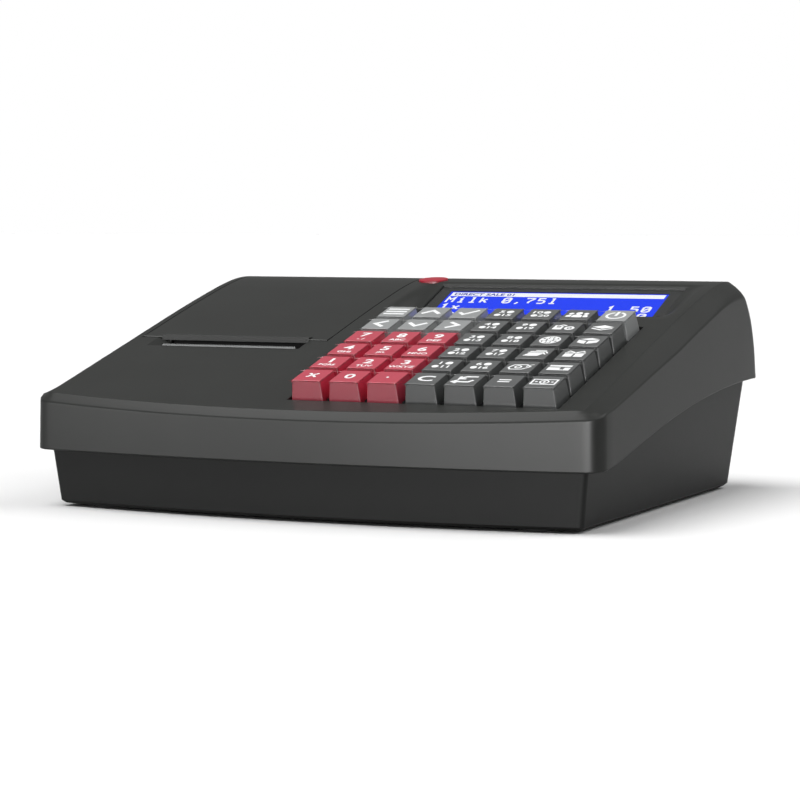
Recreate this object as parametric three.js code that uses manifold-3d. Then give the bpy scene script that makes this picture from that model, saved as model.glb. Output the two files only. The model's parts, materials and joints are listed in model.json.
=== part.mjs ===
// Compact electronic cash register: receipt printer on the left, keyboard and display on the right.
// Millimetres. X runs to the operator's right, Y to the back, Z up. The origin is the middle of the
// footprint, on the surface that the feet stand on.
import * as THREE from "three";
import { mergeVertices } from "three/addons/utils/BufferGeometryUtils.js";
import Module from "manifold-3d";

const wasm = await Module();
wasm.setup();

// Case walls and the room that neighbouring pieces leave each other
const upperWall = 2.6;
const lowerWall = 2.5;
const gap = 0.3;
const runningClearance = 0.08;
const overrun = 30;

// The case in plan: the bands that the deck is divided into from left to right and front to back
const leftMargin = 12.8;
const middleMargin = 20.85;
const rightMargin = 22.05;
const keyFrontMargin = 17.45;
const frontBow = 14.3;
const frontCornerRadius = 9;
const rearCornerRadius = 10;
const rearCornerFade = 26;

// Deck: a straight slope that rolls over a ridge into the back slope
const deckTilt = 15.87;
const straightShortfall = 7.54;
const upperDeckRadius = 1960;
const rearDeckRadius = 300;
const ridgeApproachRadius = 110;
const ridgeRadius = 20;
const backSlopeRadius = 68.5;
const deckRoll = [
  { radius: upperDeckRadius, heading: 14 },
  { radius: rearDeckRadius, heading: 10 },
  { radius: ridgeApproachRadius, heading: 0 },
  { radius: ridgeRadius, heading: -44 },
  { radius: backSlopeRadius, heading: -88.4 },
];

// Edges of the deck
const creaseInset = 8.6;
const bevelDropFront = 3.4;
const bevelDropRear = 8.8;
const chamferDepth = 3.8;
const chamferDrop = 4.6;
const fasciaHeight = 20.6;

// Lower edge of the upper case, as a curve from front to back
const skirtFrontHeight = 29;
const skirtRearRise = 0.5;
const skirtLevelRun = 13.2;
const skirtFrontPull = 33;
const skirtRearPull = 136;

// Lower case: walls that lean in from the upper case's lower edge to the base
const footHeight = 1.6;
const wallLean = 6.5;
const tubSideInset = 4.95;
const tubFrontInset = 2.15;
const tubRearInset = 6.75;
const tubFrontRadius = 3;
const tubRearRadius = 12;
const baseChamfer = 1.5;
const flangeThickness = 2.4;
const flangeCornerRadius = 14;
const flangeFrontGap = 0.7;
const flangeRearGap = 1.1;

// Screw posts that stack between the two halves, as shares of half the width and half the depth
const screwPostRadius = 4;
const screwPostJointShare = 0.5;
const screwPostShares = [
  [-0.787, -0.724],
  [-0.197, -0.724],
  [-0.558, 0.823],
  [0.56, 0.823],
];

// Feet
const footRadius = 8.6;
const footSideInset = 36.4;
const footFrontInset = 29.2;
const footRearInset = 52.2;

// Keyboard
const keyPitch = 20;
const keyColumns = 7;
const keyRows = 6;
const keyTopWidth = 15;
const keyTopDepth = 15.8;
const keyBaseWidth = 17.1;
const keyBaseDepth = 17.9;
const keyRise = 9.1;
const keySink = 1.4;
const keyTravel = 3;
const keyOpeningMargin = 1.5;
const keyCorner = 1.1;
const keyEdge = 0.8;
const stemWidth = 8;

// Key frame and circuit board under the deck
const collarThickness = 1.6;
const framePlateThickness = 2.4;
const frameTravelRoom = 2.2;
const frameBorder = 4;
const stemReach = 3.4;
const domeRoom = 2.2;
const boardThickness = 1.6;
const boardPostWidth = 7;

// Display: a window sunk into the deck behind the keys
const windowTilt = 21.55;
const windowShift = 2.1;
const windowNarrowing = 1.1;
const windowFrontMargin = 16.05;
const windowRearDrop = 1.3;
const windowDepth = 48.2;
const windowLipRun = 12.6;
const windowLedge = 1.2;
const lensThickness = 2.6;
const moduleSideInset = 2.8;
const moduleOverlap = 2.1;
const moduleThickness = 9;

// Paper: the width and the full radius of a receipt roll
const paperWidth = 79.5;
const rollRadius = 37;
const rollCoreRadius = 6.5;

// Printer lid and paper slot
const lidLength = 125.4;
const lidThickness = 2.2;
const lidGap = 0.45;
const lidFrontUndercut = 0.8;
const lipProud = 1.4;
const lipRadius = 1.9;
const lipOverhang = 0.15;
const lipEndGap = 0.5;
const slotSideRoom = 2.75;
const slotLeftMargin = 14.1;
const slotRightMargin = 9.9;
const slotDepth = 12.9;
const slotRibThickness = 2;
const slotRibDepth = 7;
const barrelRadius = 4.6;
const hingePinRadius = 1.5;
const pinOverhang = 5.5;
const lugLength = 6.5;

// Tear bar
const tearBarThickness = 1;
const tearBarHeight = 7.4;
const tearBarProud = 1.2;
const tearBarOverhang = 1.05;
const toothCount = 40;
const toothHeight = 1.1;

// Platen roller on the lid, print head in front of it
const platenRadius = 6;
const platenOverhang = 0.25;
const platenBehindLip = 7;
const platenLidGap = 1.2;
const platenShaftRadius = 2;
const platenShaftOverhang = 5;
const cheekThickness = 3;
const cheekGap = 0.6;
const cheekHalfWidth = 5;
const headAngle = 45;
const headThickness = 3;
const headLowerReach = 9;
const headUpperReach = 7;
const headSideInset = 0.75;
const headBlockReach = 22;
const headBlockHeight = 5;

// The printer shelf and the cradle of the paper roll, moulded in the lower case
const shelfDrop = 14.66;
const shelfFrontBorder = 2;
const cradleWall = 2.2;
const cradleClearance = 0.35;
const cradleSideGap = 1.2;
const cradleFloorBite = 0.25;
const cradleBehindPlaten = 17;

// Release button
const buttonLidMargin = 9.8;
const buttonRidgeMargin = 12.6;
const buttonRadius = 8;
const buttonCrown = 0.8;
const buttonEdge = 0.8;
const buttonThickness = 2.4;
const buttonTravel = 2;
const buttonPocketGap = 0.4;
const buttonStemRadius = 3;
const buttonStemLength = 16;
const buttonPocketWall = 2;
const buttonGuideLength = 8;

// Power inlet in the back wall
const inletSideMargin = 48.4;
const inletZ = 26;
const inletSize = 12;
const inletDepth = 13;
const inletFlange = 2;
const inletFlangeThickness = 2.5;
const inletFlangeGap = 1.2;
const inletBoreRadius = 3.5;
const inletBoreDepth = 9.5;
const inletRecess = 1.2;

// Facets on round pieces, and slices along curves
const roundSides = 24;
const fineSides = 40;
const smallSides = 16;
const bowSteps = 12;
const arcStep = 6;
const headingStepShare = 0.01;
const cornerShares = [0.08, 0.25, 1];

const radians = THREE.MathUtils.degToRad;
const deckSlope = Math.tan(radians(deckTilt));

// Layout across the deck
const keyOpeningWidth = (keyColumns - 1) * keyPitch + keyBaseWidth + 2 * keyOpeningMargin;
const keyOpeningDepth = (keyRows - 1) * keyPitch + keyBaseDepth + 2 * keyOpeningMargin;
const slotWidth = paperWidth + 2 * slotSideRoom;
const lidWidth = slotLeftMargin + slotWidth + slotRightMargin;
const caseWidth = leftMargin + lidWidth + middleMargin + keyOpeningWidth + rightMargin;
const halfWidth = caseWidth / 2;
const lidLeft = leftMargin - halfWidth;
const lidRight = lidLeft + lidWidth;
const slotLeft = lidLeft + slotLeftMargin;
const slotRight = slotLeft + slotWidth;
const printX = (slotLeft + slotRight) / 2;
const keyBlockX = halfWidth - rightMargin - keyOpeningWidth / 2;
const windowX = keyBlockX - windowShift;
const windowWidth = keyOpeningWidth - windowNarrowing;

// Layout from front to back
const keyRun = keyOpeningDepth * Math.cos(radians(deckTilt));
const straightRun = keyFrontMargin + keyRun - straightShortfall;
const rollRun = deckRoll.reduce((run, roll, i) => {
  const start = i === 0 ? deckTilt : deckRoll[i - 1].heading;
  return run + roll.radius * (Math.sin(radians(start)) - Math.sin(radians(roll.heading)));
}, 0);
const caseDepth = straightRun + rollRun;
const halfDepth = caseDepth / 2;
const deckStraightEnd = straightRun - halfDepth;
const keyBlockY = keyFrontMargin + keyRun / 2 - halfDepth;
const deckFrontHeight = skirtFrontHeight + fasciaHeight + chamferDrop;
const deckMidHeight = deckFrontHeight + deckSlope * (halfDepth - chamferDepth);

// Materials
const finish = (color, roughness, metalness) =>
  new THREE.MeshStandardMaterial({ color, roughness, metalness });
const plastic = (colour, roughness) => finish(colour, roughness, 0);
const upperCaseMaterial = plastic(0x3b3c3b, 0.4);
const lowerCaseMaterial = plastic(0x2b2c2c, 0.5);
const redKeyMaterial = plastic(0xc8384f, 0.3);
const lightKeyMaterial = plastic(0xa3a5a6, 0.3);
const darkKeyMaterial = plastic(0x54585a, 0.3);
const innerMaterial = plastic(0x26282a, 0.6);
const rubberMaterial = plastic(0x161616, 0.85);
const steelMaterial = finish(0xb9bcc0, 0.3, 1);
const lensMaterial = plastic(0x0a0c14, 0.08);
const displayMaterial = plastic(0x1438f0, 0.4);
const buttonMaterial = plastic(0xc8102a, 0.18);
const paperMaterial = plastic(0xf2f1ec, 0.9);
const boardMaterial = plastic(0x1d5a36, 0.5);

const part = new THREE.Group();

// Turns a closed geometry into a solid that can be cut and joined.
function solid(geometry) {
  const bare = geometry.clone();
  bare.deleteAttribute("normal");
  bare.deleteAttribute("uv");
  const merged = mergeVertices(bare);
  return new wasm.Manifold(
    new wasm.Mesh({
      numProp: 3,
      vertProperties: new Float32Array(merged.attributes.position.array),
      triVerts: new Uint32Array(merged.index.array),
    }),
  );
}

// Turns a solid back into a geometry.
function geometryOf(shape) {
  const mesh = shape.getMesh();
  const geometry = new THREE.BufferGeometry();
  geometry.setAttribute("position", new THREE.BufferAttribute(mesh.vertProperties, 3));
  geometry.setIndex(new THREE.BufferAttribute(mesh.triVerts, 1));
  const faceted = geometry.toNonIndexed();
  faceted.computeVertexNormals();
  return faceted;
}

function addMesh(name, geometry, material, parent = part) {
  const mesh = new THREE.Mesh(geometry, material);
  mesh.name = name;
  parent.add(mesh);
  return mesh;
}

// A block between two corners.
function block(low, high) {
  const size = new THREE.Vector3().subVectors(high, low);
  const middle = new THREE.Vector3().addVectors(low, high).multiplyScalar(0.5);
  return new THREE.BoxGeometry(size.x, size.y, size.z).translate(middle.x, middle.y, middle.z);
}

const at = (x, y, z) => new THREE.Vector3(x, y, z);

// A cylinder along X.
function rod(radius, left, right, y, z, sides) {
  return new THREE.CylinderGeometry(radius, radius, right - left, sides)
    .rotateZ(Math.PI / 2)
    .translate((left + right) / 2, y, z);
}

// An outline drawn in the YZ plane, extruded along X from left to right.
function sidePrism(points, left, right) {
  const extrusion = { depth: right - left, bevelEnabled: false };
  const geometry = new THREE.ExtrudeGeometry(new THREE.Shape(points), extrusion);
  const axes = new THREE.Matrix4().makeBasis(at(0, 1, 0), at(0, 0, 1), at(1, 0, 0));
  return geometry.applyMatrix4(axes).translate(left, 0, 0);
}

// A closed skin over rings of equally many points, each ring turning the same way about its path.
function loft(rings) {
  const count = rings[0].length;
  const positions = rings.flat().flatMap((p) => [p.x, p.y, p.z]);
  const faces = [];
  for (let r = 0; r + 1 < rings.length; r += 1) {
    for (let i = 0; i < count; i += 1) {
      const a = r * count + i;
      const b = r * count + ((i + 1) % count);
      faces.push(a, b, b + count, a, b + count, a + count);
    }
  }
  const last = (rings.length - 1) * count;
  for (const [ring, shift] of [[rings[0], 0], [rings.at(-1), last]]) {
    const level = !ring.every((p) => p.x === ring[0].x);
    const outline = ring.map((p) => new THREE.Vector2(level ? p.x : p.y, level ? p.y : p.z));
    for (const [a, b, c] of THREE.ShapeUtils.triangulateShape(outline, [])) {
      if (shift === 0) faces.push(a, c, b);
      else faces.push(a + shift, b + shift, c + shift);
    }
  }
  const geometry = new THREE.BufferGeometry();
  geometry.setAttribute("position", new THREE.Float32BufferAttribute(positions, 3));
  geometry.setIndex(faces);
  return geometry;
}

// A rounded corner: how far an edge draws back at a share of the way across its radius.
function drawBack(radius, share) {
  return radius * (1 - Math.sqrt(1 - THREE.MathUtils.clamp(share, 0, 1) ** 2));
}

// The bowed front edge of the case in plan.
const bowRadius = (halfWidth ** 2 + frontBow ** 2) / (2 * frontBow);
const frontEdge = (x) => bowRadius - Math.sqrt(bowRadius ** 2 - x ** 2) - halfDepth;

// The deck's side view from front to back, moved inwards by an inset, as points (y, z).
function deckPath(inset) {
  let heading = radians(deckTilt);
  let y = deckStraightEnd + inset * Math.sin(heading);
  let z = deckMidHeight + deckSlope * deckStraightEnd - inset * Math.cos(heading);
  const points = [new THREE.Vector2(y, z)];
  for (const roll of deckRoll) {
    const radius = roll.radius - inset;
    const end = radians(roll.heading);
    const centreY = y + radius * Math.sin(heading);
    const centreZ = z - radius * Math.cos(heading);
    const steps = Math.ceil((heading - end) / radians(arcStep));
    for (let i = 1; i <= steps; i += 1) {
      const turn = heading + (end - heading) * (i / steps);
      points.push(new THREE.Vector2(centreY - radius * Math.sin(turn), centreZ + radius * Math.cos(turn)));
    }
    heading = end;
    y = points.at(-1).x;
    z = points.at(-1).y;
  }
  return points;
}

const deckLine = deckPath(0);
const ridge = deckLine.reduce((best, p) => (p.y > best.y ? p : best));

// The deck's height at a distance from front to back, and its heading there.
function deckHeight(y) {
  if (y <= deckStraightEnd) return deckMidHeight + deckSlope * y;
  const next = deckLine.findIndex((p) => p.x > y);
  const a = deckLine[next - 1];
  const b = deckLine[next];
  return a.y + ((b.y - a.y) * (y - a.x)) / (b.x - a.x);
}

function deckHeading(y) {
  const step = headingStepShare * caseDepth;
  return Math.atan2(deckHeight(y + step) - deckHeight(y - step), 2 * step);
}

// The lower edge of the upper case in side view.
const skirtStart = skirtLevelRun - halfDepth;
const skirtRearHeight = deckLine.at(-1).y + skirtRearRise;
const skirtCurve = new THREE.CubicBezierCurve(
  new THREE.Vector2(skirtStart, skirtFrontHeight),
  new THREE.Vector2(skirtStart + skirtFrontPull, skirtFrontHeight),
  new THREE.Vector2(halfDepth - skirtRearPull, skirtRearHeight),
  new THREE.Vector2(halfDepth, skirtRearHeight),
).getPoints(fineSides);

function skirtHeight(y) {
  if (y <= skirtStart) return skirtFrontHeight;
  const next = skirtCurve.findIndex((p) => p.x >= y);
  if (next < 1) return skirtRearHeight;
  const a = skirtCurve[next - 1];
  const b = skirtCurve[next];
  return a.y + ((b.y - a.y) * (y - a.x)) / (b.x - a.x);
}

// The bevel's drop below the deck, across its width and along the case.
function bevelDrop(x, y) {
  const across = Math.max(0, Math.abs(x) - halfWidth + creaseInset) / creaseInset;
  const along = THREE.MathUtils.clamp((y + halfDepth) / (deckStraightEnd + halfDepth), 0, 1);
  return across * (bevelDropFront + (bevelDropRear - bevelDropFront) * along);
}

// One slice of the upper case's form, at a distance across, moved inwards by an inset.
function caseSlice(x, inset, lowerEdge) {
  const outerX = x * (halfWidth / (halfWidth - inset));
  const fromSide = halfWidth - Math.abs(outerX);
  const frontShift = drawBack(frontCornerRadius, 1 - fromSide / frontCornerRadius);
  const rearShift = drawBack(rearCornerRadius, 1 - fromSide / rearCornerRadius);
  const front = frontEdge(outerX) + frontShift + inset;
  const creaseY = front + chamferDepth;
  const slice = [];
  const fasciaDrop = Math.max(chamferDrop, bevelDrop(outerX, creaseY));
  slice.push(at(x, front, deckHeight(creaseY) - fasciaDrop - inset));
  slice.push(at(x, creaseY, deckHeight(creaseY) - bevelDrop(outerX, creaseY) - inset));
  for (const p of deckPath(inset)) {
    const behind = THREE.MathUtils.clamp((p.x - ridge.x) / rearCornerFade, 0, 1);
    slice.push(at(x, p.x - behind * rearShift, p.y - bevelDrop(outerX, p.x) * (1 - behind / 2)));
  }
  const rear = slice.pop().y;
  for (let i = 0; i <= smallSides; i += 1) {
    const y = rear + (front - rear) * (i / smallSides);
    slice.push(at(x, y, lowerEdge(y)));
  }
  return slice.reverse();
}

// The solid form of the upper case, moved inwards by an inset, down to a lower edge.
function caseForm(inset, lowerEdge) {
  const half = halfWidth - inset;
  const scale = half / halfWidth;
  const edges = [0, ...cornerShares.map((share) => share * rearCornerRadius), creaseInset];
  const across = edges.map((edge) => (halfWidth - edge) * scale);
  across.sort((a, b) => a - b);
  const stations = across.map((x) => -x).reverse();
  for (let i = 1; i < bowSteps; i += 1) stations.push(across[0] * (2 * (i / bowSteps) - 1));
  stations.push(...across);
  return solid(loft(stations.map((x) => caseSlice(x, inset, lowerEdge))));
}

// The case's outline in plan at one level: insets at the sides, front and back, and corner radii.
function planRing(side, front, rear, frontRadius, rearRadius, z) {
  const halfX = halfWidth - side;
  const reach = halfX - frontRadius;
  const rearY = halfDepth - rear;
  const edge = (x) => frontEdge(x) + front;
  const outline = new THREE.Path();
  outline.moveTo(-reach, edge(reach));
  for (let i = 1; i <= bowSteps; i += 1) {
    const x = reach * (2 * (i / bowSteps) - 1);
    outline.lineTo(x, edge(x));
  }
  outline.quadraticCurveTo(halfX, edge(halfX), halfX, edge(halfX) + frontRadius);
  outline.lineTo(halfX, rearY - rearRadius);
  outline.quadraticCurveTo(halfX, rearY, halfX - rearRadius, rearY);
  outline.lineTo(rearRadius - halfX, rearY);
  outline.quadraticCurveTo(-halfX, rearY, -halfX, rearY - rearRadius);
  outline.lineTo(-halfX, edge(halfX) + frontRadius);
  outline.quadraticCurveTo(-halfX, edge(halfX), -reach, edge(reach));
  const points = outline.getPoints(arcStep);
  points.pop();
  return points.map((p) => at(p.x, p.y, z));
}

// One level of the lower case's leaning walls, moved inwards by an inset.
function tubRing(inset, z) {
  const lean = inset + (skirtRearHeight - z) * Math.tan(radians(wallLean));
  return planRing(
    tubSideInset + lean, tubFrontInset + lean, tubRearInset + lean, tubFrontRadius, tubRearRadius, z,
  );
}

// Everything below the line of the upper case's lower edge, raised by an offset.
function underSkirt(offset) {
  const points = skirtCurve.map((p) => new THREE.Vector2(p.x, p.y + offset));
  points.unshift(new THREE.Vector2(-caseDepth, points[0].y));
  points.push(new THREE.Vector2(caseDepth, points.at(-1).y));
  points.push(new THREE.Vector2(caseDepth, -overrun), new THREE.Vector2(-caseDepth, -overrun));
  return solid(sidePrism(points, -caseWidth, caseWidth));
}

// A group whose Z axis leans back from the vertical.
function tiltedGroup(x, y, z, tilt) {
  const group = new THREE.Group();
  group.position.set(x, y, z);
  group.rotation.x = tilt;
  group.updateMatrix();
  part.add(group);
  return group;
}

// The keyboard: origin on the deck at the middle of the keys, Z square to the deck.
const keyboard = tiltedGroup(keyBlockX, keyBlockY, deckHeight(keyBlockY), radians(deckTilt));
const framePlateTop = keySink + keyTravel + frameTravelRoom;
const framePlateBottom = framePlateTop + framePlateThickness;
const boardTop = framePlateBottom + stemReach + keyTravel + domeRoom;

// A block centred on the Z axis, between two heights.
function slab(width, depth, low, high) {
  return block(at(-width / 2, -depth / 2, low), at(width / 2, depth / 2, high));
}

// A round post on the Z axis, between two heights.
function post(radius, low, high, sides) {
  return new THREE.CylinderGeometry(radius, radius, high - low, sides)
    .rotateX(Math.PI / 2)
    .translate(0, 0, (low + high) / 2);
}

// The display: origin at the middle of the window's face, Z square to it.
const windowSlope = Math.tan(radians(windowTilt));
const windowFrontY = keyBlockY + keyRun / 2 + windowFrontMargin + windowLipRun;
const windowRearY = windowFrontY + windowDepth * Math.cos(radians(windowTilt));
const windowRearZ = deckHeight(windowRearY) - windowRearDrop;
const windowPlane = (y) => windowRearZ + (y - windowRearY) * windowSlope;
const windowMiddleY = (windowRearY + windowFrontY) / 2;
const display = tiltedGroup(windowX, windowMiddleY, windowPlane(windowMiddleY), radians(windowTilt));
const windowHoleWidth = windowWidth - 2 * windowLedge;
const windowHoleDepth = windowDepth - 2 * windowLedge;

// The hollow over the window, with walls moved outwards by a thickness.
function windowHollow(wall) {
  const lipY = windowFrontY - windowLipRun;
  const lipZ = deckHeight(lipY);
  const frontZ = windowPlane(windowFrontY);
  const high = ridge.y + overrun;
  const lower = wall / Math.cos(radians(windowTilt));
  const farY = 2 * lipY - windowFrontY - wall;
  const outline = [
    new THREE.Vector2(windowFrontY, frontZ - lower),
    new THREE.Vector2(windowRearY + wall, windowPlane(windowRearY + wall) - lower),
    new THREE.Vector2(windowRearY + wall, high),
    new THREE.Vector2(farY, high),
    new THREE.Vector2(farY, 2 * lipZ - frontZ - lower),
  ];
  return solid(sidePrism(outline, windowX - windowWidth / 2 - wall, windowX + windowWidth / 2 + wall));
}

// The hinge at the back of the lid lies under the ridge, its barrel flush with the deck.
const hingeY = ridge.x;
const hingeZ = ridge.y - barrelRadius;

// The lid and the printer's mechanism, placed from the hinge forwards.
const lidFront = hingeY - lidLength;
const slotFront = lidFront - slotDepth;
const platenY = lidFront + platenBehindLip;
const lidUnderside = (y) => deckHeight(y) - lidThickness / Math.cos(deckHeading(y));
const platenZ = lidUnderside(platenY) - platenLidGap - platenRadius;
const platenLength = paperWidth + 2 * platenOverhang;
const shelfHeight = platenZ - shelfDrop;
const headBlockFront = platenY - headBlockReach;
const shelfFrontY = headBlockFront - shelfFrontBorder;
const rollY = platenY + platenRadius + cradleBehindPlaten + rollRadius;

// The release button: origin on the deck, Z square to it.
const buttonX = lidRight + buttonLidMargin;
const buttonY = ridge.x - buttonRidgeMargin;
const button = tiltedGroup(buttonX, buttonY, deckHeight(buttonY), deckHeading(buttonY));
const buttonUnderside = buttonEdge - buttonThickness;
const pocketFloor = buttonUnderside - buttonTravel - gap;

const screwPosts = screwPostShares.map(([x, y]) => [x * halfWidth, y * halfDepth]);
const screwJoint = (y) => screwPostJointShare * deckHeight(y);
const floorTop = footHeight + lowerWall;

// A vertical post between two levels.
function column(radius, x, y, low, high, sides) {
  return post(radius, low, high, sides).translate(x, y, 0);
}

function upperCase() {
  let shape = caseForm(0, skirtHeight).subtract(caseForm(upperWall, () => 0));
  const core = caseForm(upperWall / 2, () => 0);
  const ribTop = deckHeight(slotFront);
  const lugLow = hingeZ - barrelRadius;
  const lugFront = hingeY - barrelRadius;
  const lugBack = hingeY + barrelRadius;
  const collarWidth = keyOpeningWidth + 2 * collarThickness;
  const collarDepth = keyOpeningDepth + 2 * collarThickness;
  const cupRadius = buttonRadius + buttonPocketGap + buttonPocketWall;
  const guideRadius = buttonStemRadius + gap + buttonPocketWall;
  const added = [
    block(
      at(slotLeft - slotRibThickness, slotFront - slotRibThickness, ribTop - slotRibDepth),
      at(slotRight + slotRibThickness, slotFront + slotRibThickness, ribTop),
    ),
    block(at(-halfWidth, lugFront, lugLow), at(lidLeft, lugBack, ridge.y)),
    block(at(lidRight, lugFront, lugLow), at(lidRight + lidGap + lugLength, lugBack, ridge.y)),
    slab(collarWidth, collarDepth, gap - framePlateTop, 0).applyMatrix4(keyboard.matrix),
    post(cupRadius, pocketFloor - buttonPocketWall, 0, roundSides).applyMatrix4(button.matrix),
    post(guideRadius, pocketFloor - buttonGuideLength, 0, roundSides).applyMatrix4(button.matrix),
    ...screwPosts.map(([x, y]) => column(screwPostRadius, x, y, screwJoint(y), ridge.y, smallSides)),
  ].map(solid);
  for (const piece of [...added, windowHollow(upperWall)]) shape = shape.add(piece.intersect(core));

  const cut = [
    block(
      at(lidLeft - lidGap, lidFront - lidGap, skirtRearHeight),
      at(lidRight + lidGap, lugBack + lidGap, ridge.y + overrun),
    ),
    block(at(slotLeft, slotFront, skirtRearHeight), at(slotRight, lidFront, ridge.y + overrun)),
    rod(
      hingePinRadius + runningClearance, lidLeft - pinOverhang - gap, lidRight + pinOverhang + gap,
      hingeY, hingeZ, smallSides,
    ),
    slab(keyOpeningWidth, keyOpeningDepth, -overrun, overrun).applyMatrix4(keyboard.matrix),
    slab(windowHoleWidth, windowHoleDepth, -overrun, overrun).applyMatrix4(display.matrix),
    post(buttonRadius + buttonPocketGap, pocketFloor, overrun, roundSides).applyMatrix4(button.matrix),
    post(buttonStemRadius + gap, -overrun, overrun, roundSides).applyMatrix4(button.matrix),
  ].map(solid);
  for (const piece of [...cut, windowHollow(0)]) shape = shape.subtract(piece);
  return shape;
}

// The lower case: a tub with a flange inside the upper case's edge, and the printer's cradle in it.
const rollZ = floorTop + cradleWall + cradleClearance + rollRadius - cradleFloorBite;
const cradleInside = rollRadius + cradleClearance;
const cradleOutside = cradleInside + cradleWall;
const cradleHalfWidth = paperWidth / 2 + cradleSideGap;

function cradleOutline() {
  const half = roundSides / 2;
  const arc = (radius, i) => {
    const turn = Math.PI * (i / half);
    return new THREE.Vector2(rollY - radius * Math.cos(turn), rollZ - radius * Math.sin(turn));
  };
  const outline = [
    new THREE.Vector2(shelfFrontY, shelfHeight),
    new THREE.Vector2(shelfFrontY, shelfHeight - cradleWall),
    new THREE.Vector2(rollY - cradleOutside, shelfHeight - cradleWall),
  ];
  for (let i = 0; i <= half; i += 1) outline.push(arc(cradleOutside, i));
  outline.push(new THREE.Vector2(rollY + cradleOutside, shelfHeight));
  outline.push(new THREE.Vector2(rollY + cradleInside, shelfHeight));
  const cornerRadius = cradleInside / Math.cos(Math.PI / roundSides);
  for (let i = half; i >= 0; i -= 1) outline.push(arc(cornerRadius, i));
  outline.push(new THREE.Vector2(rollY - cradleInside, shelfHeight));
  return outline;
}

function lowerCase() {
  const flangeRing = (z) => planRing(
    upperWall + gap, upperWall + flangeFrontGap, upperWall + flangeRearGap,
    flangeCornerRadius, flangeCornerRadius, z,
  );
  const tubTop = skirtRearHeight + overrun;
  const baseRings = [tubRing(baseChamfer, footHeight), tubRing(0, footHeight + baseChamfer)];
  const walls = solid(loft([...baseRings, tubRing(0, tubTop)]));
  const flange = solid(loft([flangeRing(footHeight), flangeRing(tubTop)]));
  const band = underSkirt(flangeThickness).subtract(underSkirt(0));
  const hollow = solid(loft([tubRing(lowerWall, floorTop), tubRing(lowerWall, tubTop + overrun)]));
  let shape = walls.intersect(underSkirt(flangeThickness / 2)).add(flange.intersect(band)).subtract(hollow);

  const wallMiddle = cradleHalfWidth + cradleWall / 2;
  const cradle = [sidePrism(cradleOutline(), printX - wallMiddle, printX + wallMiddle)];
  for (const side of [-1, 1]) {
    cradle.push(
      block(
        at(printX + side * wallMiddle - cradleWall / 2, shelfFrontY + cradleWall, floorTop - cradleWall / 2),
        at(printX + side * wallMiddle + cradleWall / 2, rollY + cradleInside, shelfHeight - cradleWall / 2),
      ),
    );
  }
  const postFoot = floorTop - lowerWall / 2;
  for (const [x, y] of screwPosts) {
    cradle.push(column(screwPostRadius, x, y, postFoot, screwJoint(y), smallSides));
  }
  for (const piece of cradle) shape = shape.add(solid(piece));
  const hole = inletSize / 2 + gap;
  const socket = block(
    at(inletX - hole, wallRearY(inletZ) - inletRecess - inletDepth - gap, inletZ - hole),
    at(inletX + hole, halfDepth, inletZ + hole),
  );
  return shape.subtract(solid(socket));
}

// The printer lid: a plate that follows the deck, with a lip at the paper slot, a hinge barrel, and
// two cheeks that carry the platen.
function printerLid() {
  const under = deckPath(lidThickness).filter((p) => p.x < hingeY);
  const outline = [
    new THREE.Vector2(lidFront, deckHeight(lidFront)),
    new THREE.Vector2(lidFront + lidFrontUndercut, lidUnderside(lidFront + lidFrontUndercut)),
    ...under,
    new THREE.Vector2(hingeY, ridge.y - lidThickness),
    ...deckLine.filter((p) => p.x <= hingeY).reverse(),
  ];
  let shape = solid(sidePrism(outline, lidLeft, lidRight));
  const lipY = lidFront + lipRadius - lipOverhang;
  const lipZ = deckHeight(lipY) + lipProud - lipRadius;
  const pieces = [
    rod(lipRadius, slotLeft + lipEndGap, slotRight - lipEndGap, lipY, lipZ, smallSides),
    rod(barrelRadius, lidLeft, lidRight, hingeY, hingeZ, roundSides),
  ];
  for (const side of [-1, 1]) {
    const inside = printX + side * (platenLength / 2 + cheekGap);
    const outside = inside + side * cheekThickness;
    const left = Math.min(inside, outside);
    const right = Math.max(inside, outside);
    const front = platenY - cheekHalfWidth;
    const back = platenY + cheekHalfWidth;
    const cheek = [
      new THREE.Vector2(front, platenZ),
      new THREE.Vector2(back, platenZ),
      new THREE.Vector2(back, deckHeight(back) - lidThickness / 2),
      new THREE.Vector2(front, deckHeight(front) - lidThickness / 2),
    ];
    pieces.push(sidePrism(cheek, left, right));
    pieces.push(rod(cheekHalfWidth, left, right, platenY, platenZ, smallSides));
  }
  for (const piece of pieces) shape = shape.add(solid(piece));
  const shaftHole = printX + platenLength / 2 + platenShaftOverhang;
  const pinHoleRadius = hingePinRadius + runningClearance;
  const shaftHoleRadius = platenShaftRadius + runningClearance;
  const bores = [
    rod(pinHoleRadius, lidLeft - overrun, lidRight + overrun, hingeY, hingeZ, smallSides),
    rod(shaftHoleRadius, 2 * printX - shaftHole, shaftHole, platenY, platenZ, fineSides),
  ];
  for (const bore of bores) shape = shape.subtract(solid(bore));
  return shape;
}

// A turned piece about X: profile points are (radius, distance along X from the middle).
function turned(profile, x, y, z, sides) {
  const points = profile.map(([radius, along]) => new THREE.Vector2(radius, along));
  return new THREE.LatheGeometry(points, sides).rotateZ(-Math.PI / 2).translate(x, y, z);
}

function platenRoller() {
  const end = platenLength / 2;
  const tip = end + platenShaftOverhang;
  const profile = [
    [0, -tip], [platenShaftRadius, -tip], [platenShaftRadius, -end], [platenRadius, -end],
    [platenRadius, end], [platenShaftRadius, end], [platenShaftRadius, tip], [0, tip],
  ];
  return turned(profile, printX, platenY, platenZ, fineSides);
}

// A full roll of paper on a hollow core.
function paperRoll() {
  const left = printX - paperWidth / 2;
  const right = printX + paperWidth / 2;
  const rolled = solid(rod(rollRadius, left, right, rollY, rollZ, fineSides));
  const core = solid(rod(rollCoreRadius, left - overrun, right + overrun, rollY, rollZ, roundSides));
  return geometryOf(rolled.subtract(core));
}

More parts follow.
